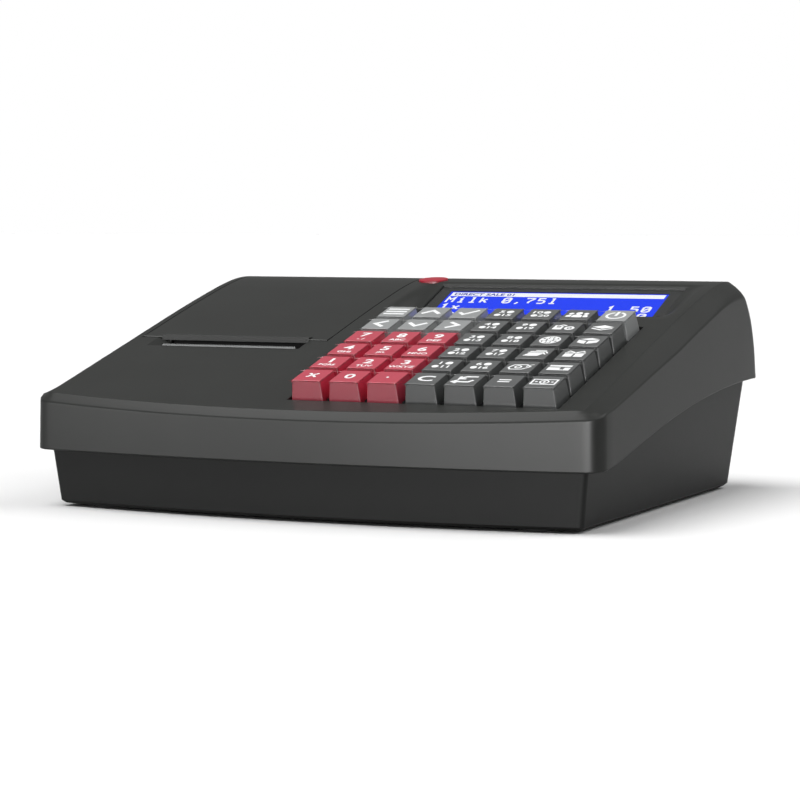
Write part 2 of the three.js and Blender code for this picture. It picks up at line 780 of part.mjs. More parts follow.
// The print head: a plate that leans against the platen, on a block that stands on the shelf.
function printHead() {
  const angle = radians(headAngle);
  const normal = new THREE.Vector2(-Math.cos(angle), -Math.sin(angle));
  const upwards = new THREE.Vector2(-Math.sin(angle), Math.cos(angle));
  const onPlate = (out, along) =>
    new THREE.Vector2(platenY, platenZ).addScaledVector(normal, out).addScaledVector(upwards, along);
  const near = platenRadius + gap;
  const far = near + headThickness;
  const low = onPlate(near, -headLowerReach);
  const blockTop = shelfHeight + headBlockHeight;
  const heel = onPlate(far, 0);
  heel.addScaledVector(upwards, (blockTop - heel.y) / upwards.y);
  const outline = [
    new THREE.Vector2(headBlockFront, shelfHeight),
    new THREE.Vector2(low.x, shelfHeight),
    low,
    onPlate(near, headUpperReach),
    onPlate(far, headUpperReach),
    heel,
    new THREE.Vector2(headBlockFront, blockTop),
  ];
  const headHalfWidth = paperWidth / 2 - headSideInset;
  return sidePrism(outline, printX - headHalfWidth, printX + headHalfWidth);
}

// A serrated strip against the front wall of the paper slot.
function tearBar() {
  const top = deckHeight(slotFront) + tearBarProud;
  const barWidth = paperWidth + 2 * tearBarOverhang;
  const left = printX - barWidth / 2;
  const pitch = barWidth / toothCount;
  const outline = new THREE.Shape();
  outline.moveTo(left, top - tearBarHeight);
  outline.lineTo(left + barWidth, top - tearBarHeight);
  for (let i = toothCount; i > 0; i -= 1) {
    outline.lineTo(left + i * pitch, top - toothHeight);
    outline.lineTo(left + (i - 1 / 2) * pitch, top);
  }
  outline.lineTo(left, top - toothHeight);
  const axes = new THREE.Matrix4().makeBasis(at(1, 0, 0), at(0, 0, 1), at(0, -1, 0));
  return new THREE.ExtrudeGeometry(outline, { depth: tearBarThickness, bevelEnabled: false })
    .applyMatrix4(axes)
    .translate(0, slotFront + tearBarThickness, 0);
}

// A rectangle with cut corners, as a ring at one height.
function keyRing(width, depth, corner, z) {
  const x = width / 2;
  const y = depth / 2;
  const mid = corner * (1 - Math.SQRT1_2);
  const quarter = [
    [x, corner - y], [x, y - corner], [x - mid, y - mid], [x - corner, y],
    [corner - x, y], [mid - x, y - mid], [-x, y - corner], [-x, corner - y],
    [mid - x, mid - y], [corner - x, -y], [x - corner, -y], [x - mid, mid - y],
  ];
  return quarter.map(([px, py]) => at(px, py, z));
}

// A keycap with its stem, in the keyboard's frame.
function keyCap() {
  const stemLow = -framePlateBottom - stemReach;
  const shoulder = keyRise - keyEdge;
  return loft([
    keyRing(stemWidth, stemWidth, keyCorner, stemLow),
    keyRing(stemWidth, stemWidth, keyCorner, -keySink),
    keyRing(keyBaseWidth, keyBaseDepth, keyCorner, -keySink),
    keyRing(keyTopWidth, keyTopDepth, keyCorner, shoulder),
    keyRing(keyTopWidth - keyEdge, keyTopDepth - keyEdge, keyCorner, keyRise),
  ]);
}

// Where a key stands in the keyboard's frame. Rows count from the front, columns from the left.
const keyX = (column) => (column - (keyColumns - 1) / 2) * keyPitch;
const keyY = (row) => (row - (keyRows - 1) / 2) * keyPitch;

const frameWidth = keyOpeningWidth + 2 * frameBorder;
const frameDepth = keyOpeningDepth + 2 * frameBorder;

// The plate that guides the key stems, with posts for the circuit board.
function keyFrame() {
  let shape = solid(slab(frameWidth, frameDepth, -framePlateBottom, -framePlateTop));
  const hole = stemWidth / 2 + gap;
  for (let row = 0; row < keyRows; row += 1) {
    for (let column = 0; column < keyColumns; column += 1) {
      const stemHole = slab(2 * hole, 2 * hole, -boardTop, 0).translate(keyX(column), keyY(row), 0);
      shape = shape.subtract(solid(stemHole));
    }
  }
  const postX = (frameWidth - boardPostWidth) / 2;
  const postY = (frameDepth - boardPostWidth) / 2;
  const plateMiddle = (framePlateTop + framePlateBottom) / 2;
  const legWidth = boardPostWidth - 2 * gap;
  for (const x of [-postX, postX]) {
    for (const y of [-postY, 0, postY]) {
      const leg = slab(legWidth, legWidth, gap - boardTop, -plateMiddle).translate(x, y, 0);
      shape = shape.add(solid(leg));
    }
  }
  return geometryOf(shape);
}

// The power inlet: a housing in the back wall, with a flange behind the wall and a blind bore.
const inletX = halfWidth - inletSideMargin;

// Where the lower case's back wall stands at a level.
function wallRearY(z) {
  return halfDepth - tubRearInset - (skirtRearHeight - z) * Math.tan(radians(wallLean));
}

function powerInlet() {
  const half = inletSize / 2;
  const back = wallRearY(inletZ) - inletRecess;
  const lip = half + inletFlange;
  const lipBack = wallRearY(inletZ) - lowerWall - inletFlangeGap;
  const body = block(
    at(inletX - half, back - inletDepth, inletZ - half),
    at(inletX + half, back, inletZ + half),
  );
  const flange = block(
    at(inletX - lip, lipBack - inletFlangeThickness, inletZ - lip),
    at(inletX + lip, lipBack, inletZ + lip),
  );
  const bore = new THREE.CylinderGeometry(inletBoreRadius, inletBoreRadius, 2 * inletBoreDepth, roundSides);
  return solid(body).add(solid(flange)).subtract(solid(bore.translate(inletX, back, inletZ)));
}

// The release button: a low dome on a stem.
function releaseButton() {
  const profile = [
    [0, buttonUnderside - buttonStemLength],
    [buttonStemRadius, buttonUnderside - buttonStemLength],
    [buttonStemRadius, buttonUnderside],
    [buttonRadius, buttonUnderside],
    [buttonRadius, buttonEdge],
  ];
  for (let i = 1; i <= arcStep; i += 1) {
    const share = 1 - i / arcStep;
    profile.push([buttonRadius * share, buttonEdge + buttonCrown * (1 - share ** 2)]);
  }
  const points = profile.map(([radius, height]) => new THREE.Vector2(radius, height));
  return new THREE.LatheGeometry(points, fineSides).rotateX(Math.PI / 2);
}

addMesh("upper_case", geometryOf(upperCase()), upperCaseMaterial);
addMesh("lower_case", geometryOf(lowerCase()), lowerCaseMaterial);
addMesh("printer_lid", geometryOf(printerLid()), upperCaseMaterial);
const pinEnds = [lidLeft - pinOverhang, lidRight + pinOverhang];
addMesh("lid_hinge_pin", rod(hingePinRadius, ...pinEnds, hingeY, hingeZ, smallSides), steelMaterial);
addMesh("tear_bar", tearBar(), steelMaterial);
addMesh("platen_roller", platenRoller(), rubberMaterial);
addMesh("print_head", printHead(), innerMaterial);
addMesh("paper_roll", paperRoll(), paperMaterial);
const lensWidth = windowHoleWidth - 2 * gap;
const lensDepth = windowHoleDepth - 2 * gap;
addMesh("display_window", slab(lensWidth, lensDepth, -lensThickness, 0), lensMaterial, display);
const moduleTop = -lensThickness - gap;
const moduleWidth = windowHoleWidth - 2 * moduleSideInset;
const moduleDepth = windowHoleDepth + 2 * moduleOverlap;
const moduleBlock = slab(moduleWidth, moduleDepth, moduleTop - moduleThickness, moduleTop);
addMesh("display_module", moduleBlock, displayMaterial, display);
addMesh("key_frame", keyFrame(), innerMaterial, keyboard);
const board = slab(frameWidth, frameDepth, -boardTop - boardThickness, -boardTop);
addMesh("circuit_board", board, boardMaterial, keyboard);
addMesh("release_button", releaseButton(), buttonMaterial, button);
addMesh("power_inlet", geometryOf(powerInlet()), innerMaterial);

const footX = halfWidth - footSideInset;
for (const [end, y] of [["front", footFrontInset - halfDepth], ["rear", halfDepth - footRearInset]]) {
  for (const [side, x] of [["left", -footX], ["right", footX]]) {
    const pad = post(footRadius, 0, footHeight, fineSides);
    addMesh(`foot_${end}_${side}`, pad, rubberMaterial).position.set(x, y, 0);
  }
}

// The left three columns are the number pad: red keys, with two rows of light ones behind them.
const padColumns = 3;
const padRows = 4;
for (let row = 0; row < keyRows; row += 1) {
  for (let column = 0; column < keyColumns; column += 1) {
    const rearRightKey = row === keyRows - 1 && column === keyColumns - 1;
    let material = rearRightKey ? lightKeyMaterial : darkKeyMaterial;
    if (column < padColumns) material = row < padRows ? redKeyMaterial : lightKeyMaterial;
    const key = addMesh(`key_r${row + 1}_c${column + 1}`, keyCap(), material, keyboard);
    key.position.set(keyX(column), keyY(row), 0);
  }
}

export default part;
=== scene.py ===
# Compact electronic cash register: receipt printer on the left, keyboard and display on the right.
# Metres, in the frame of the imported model. X runs to the operator's right, Y to the back, Z up.
import json
import math

import bmesh
import bpy
from mathutils import Matrix, Vector


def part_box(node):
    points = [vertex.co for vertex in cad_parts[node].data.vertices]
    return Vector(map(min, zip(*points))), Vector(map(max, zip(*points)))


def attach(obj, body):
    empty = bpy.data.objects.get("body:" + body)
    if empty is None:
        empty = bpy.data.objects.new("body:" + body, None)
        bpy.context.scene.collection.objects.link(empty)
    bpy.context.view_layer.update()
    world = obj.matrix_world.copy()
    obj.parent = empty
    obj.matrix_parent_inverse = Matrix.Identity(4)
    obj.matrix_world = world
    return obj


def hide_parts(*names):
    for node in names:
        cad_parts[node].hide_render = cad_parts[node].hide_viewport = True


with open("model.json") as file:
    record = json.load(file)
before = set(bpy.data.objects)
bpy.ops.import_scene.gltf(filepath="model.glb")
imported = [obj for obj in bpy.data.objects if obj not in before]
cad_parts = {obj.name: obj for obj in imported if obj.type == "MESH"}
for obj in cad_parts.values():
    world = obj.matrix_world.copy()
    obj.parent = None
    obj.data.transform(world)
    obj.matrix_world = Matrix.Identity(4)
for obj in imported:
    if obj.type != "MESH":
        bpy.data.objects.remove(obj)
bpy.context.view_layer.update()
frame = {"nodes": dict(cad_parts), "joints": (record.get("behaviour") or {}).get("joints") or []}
MM = 0.001

# The upper case, as far as the frame gives it
half_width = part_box("upper_case")[1].x
half_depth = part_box("upper_case")[1].y
ridge_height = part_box("upper_case")[1].z
skirt_front_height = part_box("upper_case")[0].z
lid_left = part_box("printer_lid")[0].x
lid_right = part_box("printer_lid")[1].x
joints = {joint["name"]: joint for joint in frame["joints"]}
hinge_y, hinge_z = joints["lid_hinge"]["pos_m"][1:]

# Edges and corners of the upper case
front_bow = 14.3 * MM
front_corner_radius = 9 * MM
rear_corner_radius = 10 * MM
rear_corner_fade = 26 * MM
crease_inset = 8.6 * MM
bevel_drop_front = 3.4 * MM
bevel_drop_rear = 8.8 * MM
band_roundness = 0.4
rear_band_fade = 0.85
chamfer_depth = 3.8 * MM
chamfer_drop = 4.6 * MM
wall_draft = 0.4 * MM
skin_thickness = 1.6 * MM
crease_round = 0.45 * MM
shoulder_round = 0.8 * MM
rim_round = 0.35 * MM
foot_edge_round = 0.8 * MM
foot_edge_lip = 1.7 * MM

# The deck in side view: a straight slope, then one arc after another, as (radius, heading at its end)
deck_tilt = math.radians(15.87)
deck_roll = [
    (1960 * MM, math.radians(14)),
    (300 * MM, math.radians(10)),
    (110 * MM, 0),
    (20 * MM, math.radians(-44)),
    (68.5 * MM, math.radians(-88.4)),
]
arc_step = math.radians(5)

# The lower edge of the upper case, as a curve from front to back
skirt_level_run = 13.2 * MM
skirt_front_pull = 33 * MM
skirt_rear_pull = 136 * MM
skirt_rear_height = 59.03 * MM
last_row_rise = 3.2 * MM

# Openings in the deck
lid_gap = 0.45 * MM
barrel_radius = 4.6 * MM
slot_left_margin = 9.5 * MM
slot_end_slope = 8.5 * MM
slot_right_margin = 9.9 * MM
slot_depth = 12.9 * MM
lid_length = 125.4 * MM
key_front_margin = 17.45 * MM
key_opening_margin = 1.5 * MM
window_lip_run = 12.6 * MM
window_depth = 48.2 * MM
window_side_ledge = 1.5 * MM
window_tilt = math.radians(21.55)
dip_run = 11 * MM
dip_fade = 2.5 * MM
button_before_ridge = 12.6 * MM
pocket_gap = 0.4 * MM
pocket_margin = 1.8 * MM
opening_wall = 3.6 * MM
keyboard_wall = 6.2 * MM
pocket_depth = 3.9 * MM

# Keys
key_rows = 6
key_columns = 7
key_base = Vector((17.1, 17.9)) * MM
key_top = Vector((15, 15.8)) * MM
key_rise = 9.1 * MM
key_sink = 1.4 * MM
key_plate = 0.8 * MM
key_groove = 0.24 * MM
key_corner_round = 0.75 * MM
key_edge_round = 0.2 * MM
key_stem = 8 * MM
key_stem_length = 13 * MM
key_stem_round = 0.5 * MM
key_spots = [(row, column) for row in range(1, key_rows + 1) for column in range(1, key_columns + 1)]
red_columns = 3
red_rows = 4


def fill_between(stops, step):
    """The stops, with more places between them so that none lie further apart than a step."""
    places = []
    for low, high in zip(stops, stops[1:]):
        count = max(1, math.ceil((high - low) / step - 0.001))
        places += [low + (high - low) * i / count for i in range(count)]
    return places + [stops[-1]]


def clamp(value):
    return min(1, max(0, value))


def smooth_step(low, high, value):
    share = clamp((value - low) / (high - low))
    return share * share * (3 - 2 * share)


# The deck's arcs, as (rear end, centre y, centre z, radius). The first pass finds how high the straight
# slope has to end for the ridge to have its height, and the second sets the arcs on it.
roll_run = 0
heading = deck_tilt
for radius, end in deck_roll:
    roll_run += radius * (math.sin(heading) - math.sin(end))
    heading = end
deck_straight_end = half_depth - roll_run
deck_straight_height = 0
for _ in range(2):
    heading, y, z = deck_tilt, deck_straight_end, deck_straight_height
    deck_arcs = []
    for radius, end in deck_roll:
        centre_y = y + radius * math.sin(heading)
        centre_z = z - radius * math.cos(heading)
        y = centre_y - radius * math.sin(end)
        z = centre_z + radius * math.cos(end)
        deck_arcs.append((y, centre_y, centre_z, radius))
        if end == 0:
            ridge_y, deck_straight_height = y, deck_straight_height + ridge_height - z
        heading = end


def deck_height(y):
    """The deck's height at a distance from front to back."""
    if y <= deck_straight_end:
        return deck_straight_height + (y - deck_straight_end) * math.tan(deck_tilt)
    for end_y, centre_y, centre_z, radius in deck_arcs:
        if y <= end_y or end_y == deck_arcs[-1][0]:
            return centre_z + math.sqrt(max(0, radius ** 2 - (y - centre_y) ** 2))


bow_radius = (half_width ** 2 + front_bow ** 2) / (2 * front_bow)


def front_edge(x):
    """The bowed front edge of the case in plan."""
    return bow_radius - math.sqrt(bow_radius ** 2 - x ** 2) - half_depth


def draw_back(radius, share):
    """How far a rounded corner draws back at a share of the way across its radius."""
    return radius * (1 - math.sqrt(1 - clamp(share) ** 2))


def skirt_height(y):
    """The lower edge of the upper case, a cubic curve that runs level at both ends."""
    start = skirt_level_run - half_depth
    ends = (start, start + skirt_front_pull, half_depth - skirt_rear_pull, half_depth)
    low, high = 0, 1
    for _ in range(30):
        t = (low + high) / 2
        reach = sum(
            weight * end
            for weight, end in zip(((1 - t) ** 3, 3 * t * (1 - t) ** 2, 3 * t * t * (1 - t), t ** 3), ends)
        )
        low, high = (t, high) if reach < y else (low, t)
    share = 3 * t * t * (1 - t) + t ** 3
    return skirt_front_height + (skirt_rear_height - skirt_front_height) * share


# Working on pieces


def deselect():
    bpy.ops.object.select_all(action="DESELECT")


def only(piece):
    """Selects one piece and makes it the active one."""
    deselect()
    piece.select_set(True)
    bpy.context.view_layer.objects.active = piece
    return piece


def start_edit(name):
    """Names the primitive that was just added and opens it for editing, with all of it selected."""
    piece = bpy.context.object
    piece.name = name
    piece.data.name = name
    bpy.ops.object.mode_set(mode="EDIT")
    bpy.ops.mesh.select_all(action="SELECT")
    return piece


def end_edit(piece, angle=32):
    """Closes a piece after editing, applies its place and shades it smooth up to an angle in degrees."""
    bpy.ops.object.mode_set(mode="OBJECT")
    only(piece)
    bpy.ops.object.transform_apply(location=True, rotation=True, scale=True)
    bpy.ops.object.shade_smooth_by_angle(angle=math.radians(angle))
    return piece


def pick(piece, kind, test):
    """Selects the vertices, edges or faces of the piece being edited that pass a test."""
    bpy.ops.mesh.select_all(action="DESELECT")
    bpy.ops.mesh.select_mode(type=kind)
    mesh = bmesh.from_edit_mesh(piece.data)
    parts = {"VERT": mesh.verts, "EDGE": mesh.edges, "FACE": mesh.faces}[kind]
    found = [part for part in parts if test(part)]
    for part in found:
        part.select_set(True)
    mesh.select_flush_mode()
    bmesh.update_edit_mesh(piece.data)


def middle(part):
    """The middle of an edge or face."""
    return sum((vertex.co for vertex in part.verts), Vector()) / len(part.verts)


def upright(edge, least=MM):
    """Whether an edge rises by more than a least height."""
    return abs(edge.verts[0].co.z - edge.verts[1].co.z) > least


def turn_faces_out():
    bpy.ops.mesh.select_all(action="SELECT")
    bpy.ops.mesh.normals_make_consistent(inside=False)


def extrude(move=(0, 0, 0)):
    bpy.ops.mesh.extrude_region_move(TRANSFORM_OT_translate={"value": move})


def resize(factors, centre=(0, 0, 0)):
    bpy.ops.transform.resize(value=factors, center_override=centre)


def round_edges(width, segments=2):
    bpy.ops.mesh.bevel(offset=width, offset_type="OFFSET", segments=segments, affect="EDGES")


def tilted(x, y, z, tilt):
    """A place whose Z axis leans back from the vertical."""
    return Matrix.Translation((x, y, z)) @ Matrix.Rotation(tilt, 4, "X")


def apply_modifiers(piece):
    only(piece)
    for modifier in list(piece.modifiers):
        bpy.ops.object.modifier_apply(modifier=modifier.name)
    return piece


def add_wall(piece, thickness):
    """Gives a sheet its thickness, on its under side."""
    wall = piece.modifiers.new("wall", "SOLIDIFY")
    wall.thickness = thickness
    wall.offset = -1


def add_rounding(piece, width, angle):
    """Rounds the edges of a piece that are sharper than an angle in degrees."""
    edges = piece.modifiers.new("edges", "BEVEL")
    edges.width = width
    edges.segments = 2
    edges.angle_limit = math.radians(angle)


def shade(piece, angle=32):
    """Smooth shading that keeps broad faces flat and puts the turn into the rounded edges."""
    only(piece)
    bpy.ops.object.shade_smooth_by_angle(angle=math.radians(angle))
    weights = piece.modifiers.new("broad faces", "WEIGHTED_NORMAL")
    weights.keep_sharp = True
    return apply_modifiers(piece)


def dress(piece, body, material, slot=None, *nodes):
    """Gives a finished piece its material and the body that it rides on, and hides the nodes that it stands
    for.
    """
    piece.data.materials.clear()
    piece.data.materials.append(material)
    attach(piece, body)
    if nodes:
        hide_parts(*nodes)
    return piece


def join(pieces):
    """Makes one piece of several, with the first one's name."""
    only(pieces[0])
    for piece in pieces[1:]:
        piece.select_set(True)
    bpy.ops.object.join()
    return pieces[0]


def turned(name, stations, sides, place):
    """A turned piece about Z, from (height, radius) stations, set at a place."""
    deselect()
    low, radius = stations[0]
    bpy.ops.mesh.primitive_circle_add(vertices=sides, radius=radius, fill_type="NGON", location=(0, 0, 0))
    piece = start_edit(name)
    bpy.ops.transform.translate(value=(0, 0, low))
    for height, next_radius in stations[1:]:
        extrude((0, 0, height - low))
        share = next_radius / radius
        resize((share, share, 1), (0, 0, height))
        low, radius = height, next_radius
    turn_faces_out()
    end_edit(piece)
    piece.data.transform(place)
    return piece


def turned_on_x(centre):
    """A place for a turned piece whose axis lies along X."""
    return Matrix.Translation(centre) @ Matrix.Rotation(math.pi / 2, 4, "Y")


def block(name, low, high):
    """A block between two corners, open for editing; until that ends, its mesh lies about its middle."""
    deselect()
    low, high = Vector(low), Vector(high)
    bpy.ops.mesh.primitive_cube_add(size=1, location=(low + high) / 2, scale=high - low)
    return start_edit(name)


def slab(name, width, depth, thickness, corner, segments, margin):
    """A flat slab under the origin, with rounded corners and a margin round its top."""
    piece = block(name, (-width / 2, -depth / 2, -thickness), (width / 2, depth / 2, 0))
    pick(piece, "EDGE", upright)
    round_edges(corner, segments)
    pick(piece, "FACE", lambda face: face.normal.z > 0.9)
    bpy.ops.mesh.inset(thickness=margin, depth=0)
    return end_edit(piece)


def grid(name, last_i, last_j, place):
    """A sheet whose crossings lie where a function of their column and row says."""
    deselect()
    bpy.ops.mesh.primitive_grid_add(x_subdivisions=last_i, y_subdivisions=last_j, size=2)
    piece = start_edit(name)
    mesh = bmesh.from_edit_mesh(piece.data)
    for vertex in mesh.verts:
        vertex.co = place(round((vertex.co.x + 1) / 2 * last_i), round((vertex.co.y + 1) / 2 * last_j))
    bmesh.update_edit_mesh(piece.data)
    return piece


# Finishes

mottle_scale = 38
mottle_stops = (0.3, 0.7)
grain_gloss = 0.05
grain_strength = 0.35
coat_roughness = 0.08
scratch_scale = (60, 3000, 3000)
scratch_shades = (0.75, 1.1)
scratch_strength = 0.3
scratch_depth = 0.02 * MM
dot_pitch = 0.5 * MM
dot_gap = 0.06
display_glow = 0.7
smear_scale = 30
lens_gloss = (0.04, 0.1)
lens_cover = (0.02, 0.2)
lens_slant = 0.4


def finish(name):
    """A new material, its node tree and its principled shader."""
    material = bpy.data.materials.new(name)
    material.use_nodes = True
    return material, material.node_tree, material.node_tree.nodes["Principled BSDF"]


def wire(tree, node, sockets):
    """Gives a node's sockets their constants, or links them to the outputs of other nodes."""
    for name, value in sockets.items():
        if isinstance(value, bpy.types.NodeSocket):
            tree.links.new(value, node.inputs[name])
        else:
            node.inputs[name].default_value = value
    return node


def add_node(tree, kind, sockets=None, **settings):
    """A new shader node with its settings made and its sockets wired."""
    node = tree.nodes.new(f"ShaderNode{kind}")
    for name, value in settings.items():
        setattr(node, name, value)
    return wire(tree, node, sockets or {})


def noise(tree, scale, detail=2, stretch=(1, 1, 1)):
    """Noise over a piece, stretched along its axes."""
    place = add_node(tree, "TexCoord").outputs["Object"]
    if stretch != (1, 1, 1):
        place = add_node(tree, "Mapping", {"Vector": place, "Scale": stretch}).outputs["Vector"]
    return add_node(tree, "TexNoise", {"Vector": place, "Scale": scale, "Detail": detail}).outputs["Fac"]


def spread(tree, value, low, high, start=0):
    """A value from start to 1, spread from low to high."""
    sockets = {"Value": value, "From Min": start, "To Min": low, "To Max": high}
    return add_node(tree, "MapRange", sockets).outputs["Result"]


def shade_of(colour, share):
    return [channel * share for channel in colour] + [1]


def vary_colour(tree, shader, pattern, colour, shares, stops=(0, 1)):
    """Lets a shader's colour follow a pattern, between two shades of one colour."""
    ramp = add_node(tree, "ValToRGB", {"Fac": pattern})
    for element, share, stop in zip(ramp.color_ramp.elements, shares, stops):
        element.position = stop
        element.color = shade_of(colour, share)
    wire(tree, shader, {"Base Color": ramp.outputs["Color"]})


def vary_surface(tree, shader, pattern, gloss, strength, depth):
    """Lets a shader's roughness and relief follow a pattern."""
    bump = add_node(tree, "Bump", {"Strength": strength, "Distance": depth, "Height": pattern})
    wire(tree, shader, {"Roughness": spread(tree, pattern, *gloss), "Normal": bump.outputs["Normal"]})


def moulded(name, colour, roughness, specular, grain_scale, grain_depth, mottle=0.12, coat=0):
    """Moulded plastic: fine spark-eroded grain, slight mottling and uneven gloss."""
    material, tree, shader = finish(name)
    wire(tree, shader, {
        "Specular IOR Level": specular, "Coat Weight": coat, "Coat Roughness": coat_roughness,
    })
    cloud = noise(tree, mottle_scale, 3)
    vary_colour(tree, shader, cloud, colour, (1 - mottle, 1 + mottle), mottle_stops)
    gloss = (roughness - grain_gloss, roughness + grain_gloss)
    vary_surface(tree, shader, noise(tree, grain_scale), gloss, grain_strength, grain_depth)
    return material


def brushed_steel(name, colour, roughness):
    """Steel with fine scratches along X."""
    material, tree, shader = finish(name)
    wire(tree, shader, {"Metallic": 1})
    scratches = noise(tree, 1, 4, scratch_scale)
    vary_colour(tree, shader, scratches, colour, scratch_shades)
    gloss = (roughness - 0.1, roughness + 0.15)
    vary_surface(tree, shader, scratches, gloss, scratch_strength, scratch_depth)
    return material


def lit(name, colour):
    """A lit display surface with a faint dot grid."""
    material, tree, shader = finish(name)
    place = add_node(tree, "TexCoord").outputs["Object"]
    dots = add_node(tree, "TexBrick", {
        "Vector": place, "Scale": 1 / dot_pitch, "Brick Width": 1, "Row Height": 1, "Mortar Size": dot_gap,
        "Color1": shade_of(colour, 1), "Color2": shade_of(colour, 0.96), "Mortar": shade_of(colour, 0.8),
    }, offset=0)
    wire(tree, shader, {
        "Base Color": shade_of(colour, 0.4), "Roughness": 0.5, "Specular IOR Level": 0.1,
        "Emission Color": dots.outputs["Color"], "Emission Strength": display_glow,
    })
    return material


def clear_lens(name):
    """Clear sheet over the display: hardly seen square on, glossier at a slant, with faint smears."""
    material, tree, shader = finish(name)
    slant = add_node(tree, "LayerWeight", {"Blend": 0.5}).outputs["Facing"]
    wire(tree, shader, {
        "Base Color": (0.02, 0.021, 0.022, 1),
        "Roughness": spread(tree, noise(tree, smear_scale), *lens_gloss),
        "Alpha": spread(tree, slant, *lens_cover, start=lens_slant),
    })
    return material


# Moulded finishes: name, colour, roughness, specular, grain's scale and depth, mottle, coat
charcoal = moulded("satin charcoal plastic", (0.022, 0.0232, 0.0215), 0.38, 0.22, 2600, 0.03 * MM, 0.05)
black_case = moulded("satin black plastic", (0.016, 0.0166, 0.016), 0.42, 0.16, 2400, 0.03 * MM, 0.06)
red_cap = moulded("red key plastic", (0.53, 0.032, 0.068), 0.3, 0.8, 1500, 0.001 * MM, 0.04, 0.6)
light_cap = moulded("light grey key plastic", (0.3, 0.31, 0.31), 0.3, 0.8, 1500, 0.001 * MM, 0.04, 0.6)
dark_cap = moulded("dark grey key plastic", (0.082, 0.086, 0.085), 0.3, 0.8, 1500, 0.001 * MM, 0.04, 0.6)
legend_white = moulded("white legend ink", (0.85, 0.86, 0.86), 0.5, 0.3, 4000, 0.004 * MM, 0.03)
inner_black = moulded("matt black inner plastic", (0.014, 0.015, 0.016), 0.6, 0.3, 1800, 0.03 * MM)
rubber = moulded("black rubber", (0.012, 0.012, 0.012), 0.85, 0.2, 1200, 0.06 * MM)
paper_white = moulded("receipt paper", (0.82, 0.81, 0.78), 0.85, 0.2, 900, 0.01 * MM, 0.03)
board_green = moulded("green circuit board", (0.012, 0.09, 0.035), 0.4, 0.4, 1500, 0.01 * MM, 0.3)
red_gloss = moulded("glossy red plastic", (0.42, 0.012, 0.032), 0.35, 0.3, 900, 0.005 * MM, 0.05)
steel = brushed_steel("brushed steel", (0.085, 0.087, 0.087), 0.34)
lcd_blue = lit("lit blue display", (0.012, 0.052, 0.95))
lcd_white = lit("lit white dots", (0.95, 0.97, 1))
lcd_ink = lit("dark blue dots", (0.01, 0.03, 0.4))
# A lighter charcoal for the faces along the lid's front edge that face up and forward: a painted highlight
# line along that edge.
painted_edge_highlight = moulded("polished charcoal edge", (0.15, 0.155, 0.15), 0.32, 0.6, 2600, 0.003 * MM, 0.1)
border_black = moulded("dark printed border", (0.034, 0.035, 0.034), 0.4, 0.3, 2000, 0.002 * MM)
lens_clear = clear_lens("clear display sheet")

# Places that the upper case shares with what lies in it

band_shares = [0, 0.14, 0.32, 0.6, 1]
chamfer_shares = [0, 0.5, 1]
column_step = 9 * MM
row_step = 8 * MM
pocket_step = 1.7 * MM
row_anchor = -80 * MM
crease_x = half_width - crease_inset
lid_front = hinge_y - lid_length
slot_front = lid_front - slot_depth
slot_left = lid_left + slot_left_margin
slot_right = lid_right - slot_right_margin
lid_back = hinge_y + barrel_radius

key_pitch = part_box("key_r1_c2")[0].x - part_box("key_r1_c1")[0].x
key_opening = Vector((key_columns - 1, key_rows - 1)) * key_pitch + key_base
key_opening += Vector((1, 1)) * 2 * key_opening_margin
keyboard_x = (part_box("key_r1_c1")[0].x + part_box(f"key_r1_c{key_columns}")[1].x) / 2
key_run = key_opening.y * math.cos(deck_tilt)
key_front = key_front_margin - half_depth
keyboard_y = key_front + key_run / 2
key_left = keyboard_x - key_opening.x / 2
key_right = keyboard_x + key_opening.x / 2
keyboard = tilted(keyboard_x, keyboard_y, deck_height(keyboard_y), deck_tilt)

lens_low, lens_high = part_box("display_window")
lens_span = lens_high - lens_low
lens_depth = lens_span.y * math.cos(window_tilt) - lens_span.z * math.sin(window_tilt)
lens_depth /= math.cos(2 * window_tilt)
window_x = (lens_low.x + lens_high.x) / 2
window_middle_y = lens_low.y + lens_depth / 2 * math.cos(window_tilt)
window_middle_z = lens_high.z - lens_depth / 2 * math.sin(window_tilt)
window = tilted(window_x, window_middle_y, window_middle_z, window_tilt)
window_left = lens_low.x - window_side_ledge
window_right = lens_high.x + window_side_ledge
window_reach = window_depth / 2 * math.cos(window_tilt)
window_front = window_middle_y - window_reach
window_rear = window_middle_y + window_reach
window_lip = window_front - window_lip_run

button_low, button_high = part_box("release_button")
button_x = (button_low.x + button_high.x) / 2
button_radius = (button_high.x - button_low.x) / 2
button_y = ridge_y - button_before_ridge
button_tilt = math.asin((deck_arcs[2][1] - button_y) / deck_arcs[2][3])
button_place = tilted(button_x, button_y, deck_height(button_y), button_tilt)
pocket_radius = button_radius + pocket_gap
pocket_front = button_y - pocket_radius - pocket_margin
pocket_back = button_y + pocket_radius + pocket_margin


def window_floor(y):
    """The bottom of the display's hollow: a slope down from the lip, then the window's plane."""
    lip_height = deck_height(window_lip)
    low = window_middle_z - window_reach * math.tan(window_tilt)
    if y < window_front:
        return lip_height + (low - lip_height) * (y - window_lip) / window_lip_run
    return low + (y - window_front) * math.tan(window_tilt)


def window_dip(x, y):
    """How far the deck dips beside the display, down to the window."""
    beside = max(window_left - x, x - window_right)
    if y < window_lip or y > window_rear + dip_fade or beside > dip_run:
        return 0
    fade = 1 - smooth_step(window_rear - dip_fade / 2, window_rear + dip_fade, y)
    return (1 - smooth_step(0, dip_run, max(0, beside))) * fade * (deck_height(y) - window_floor(y))


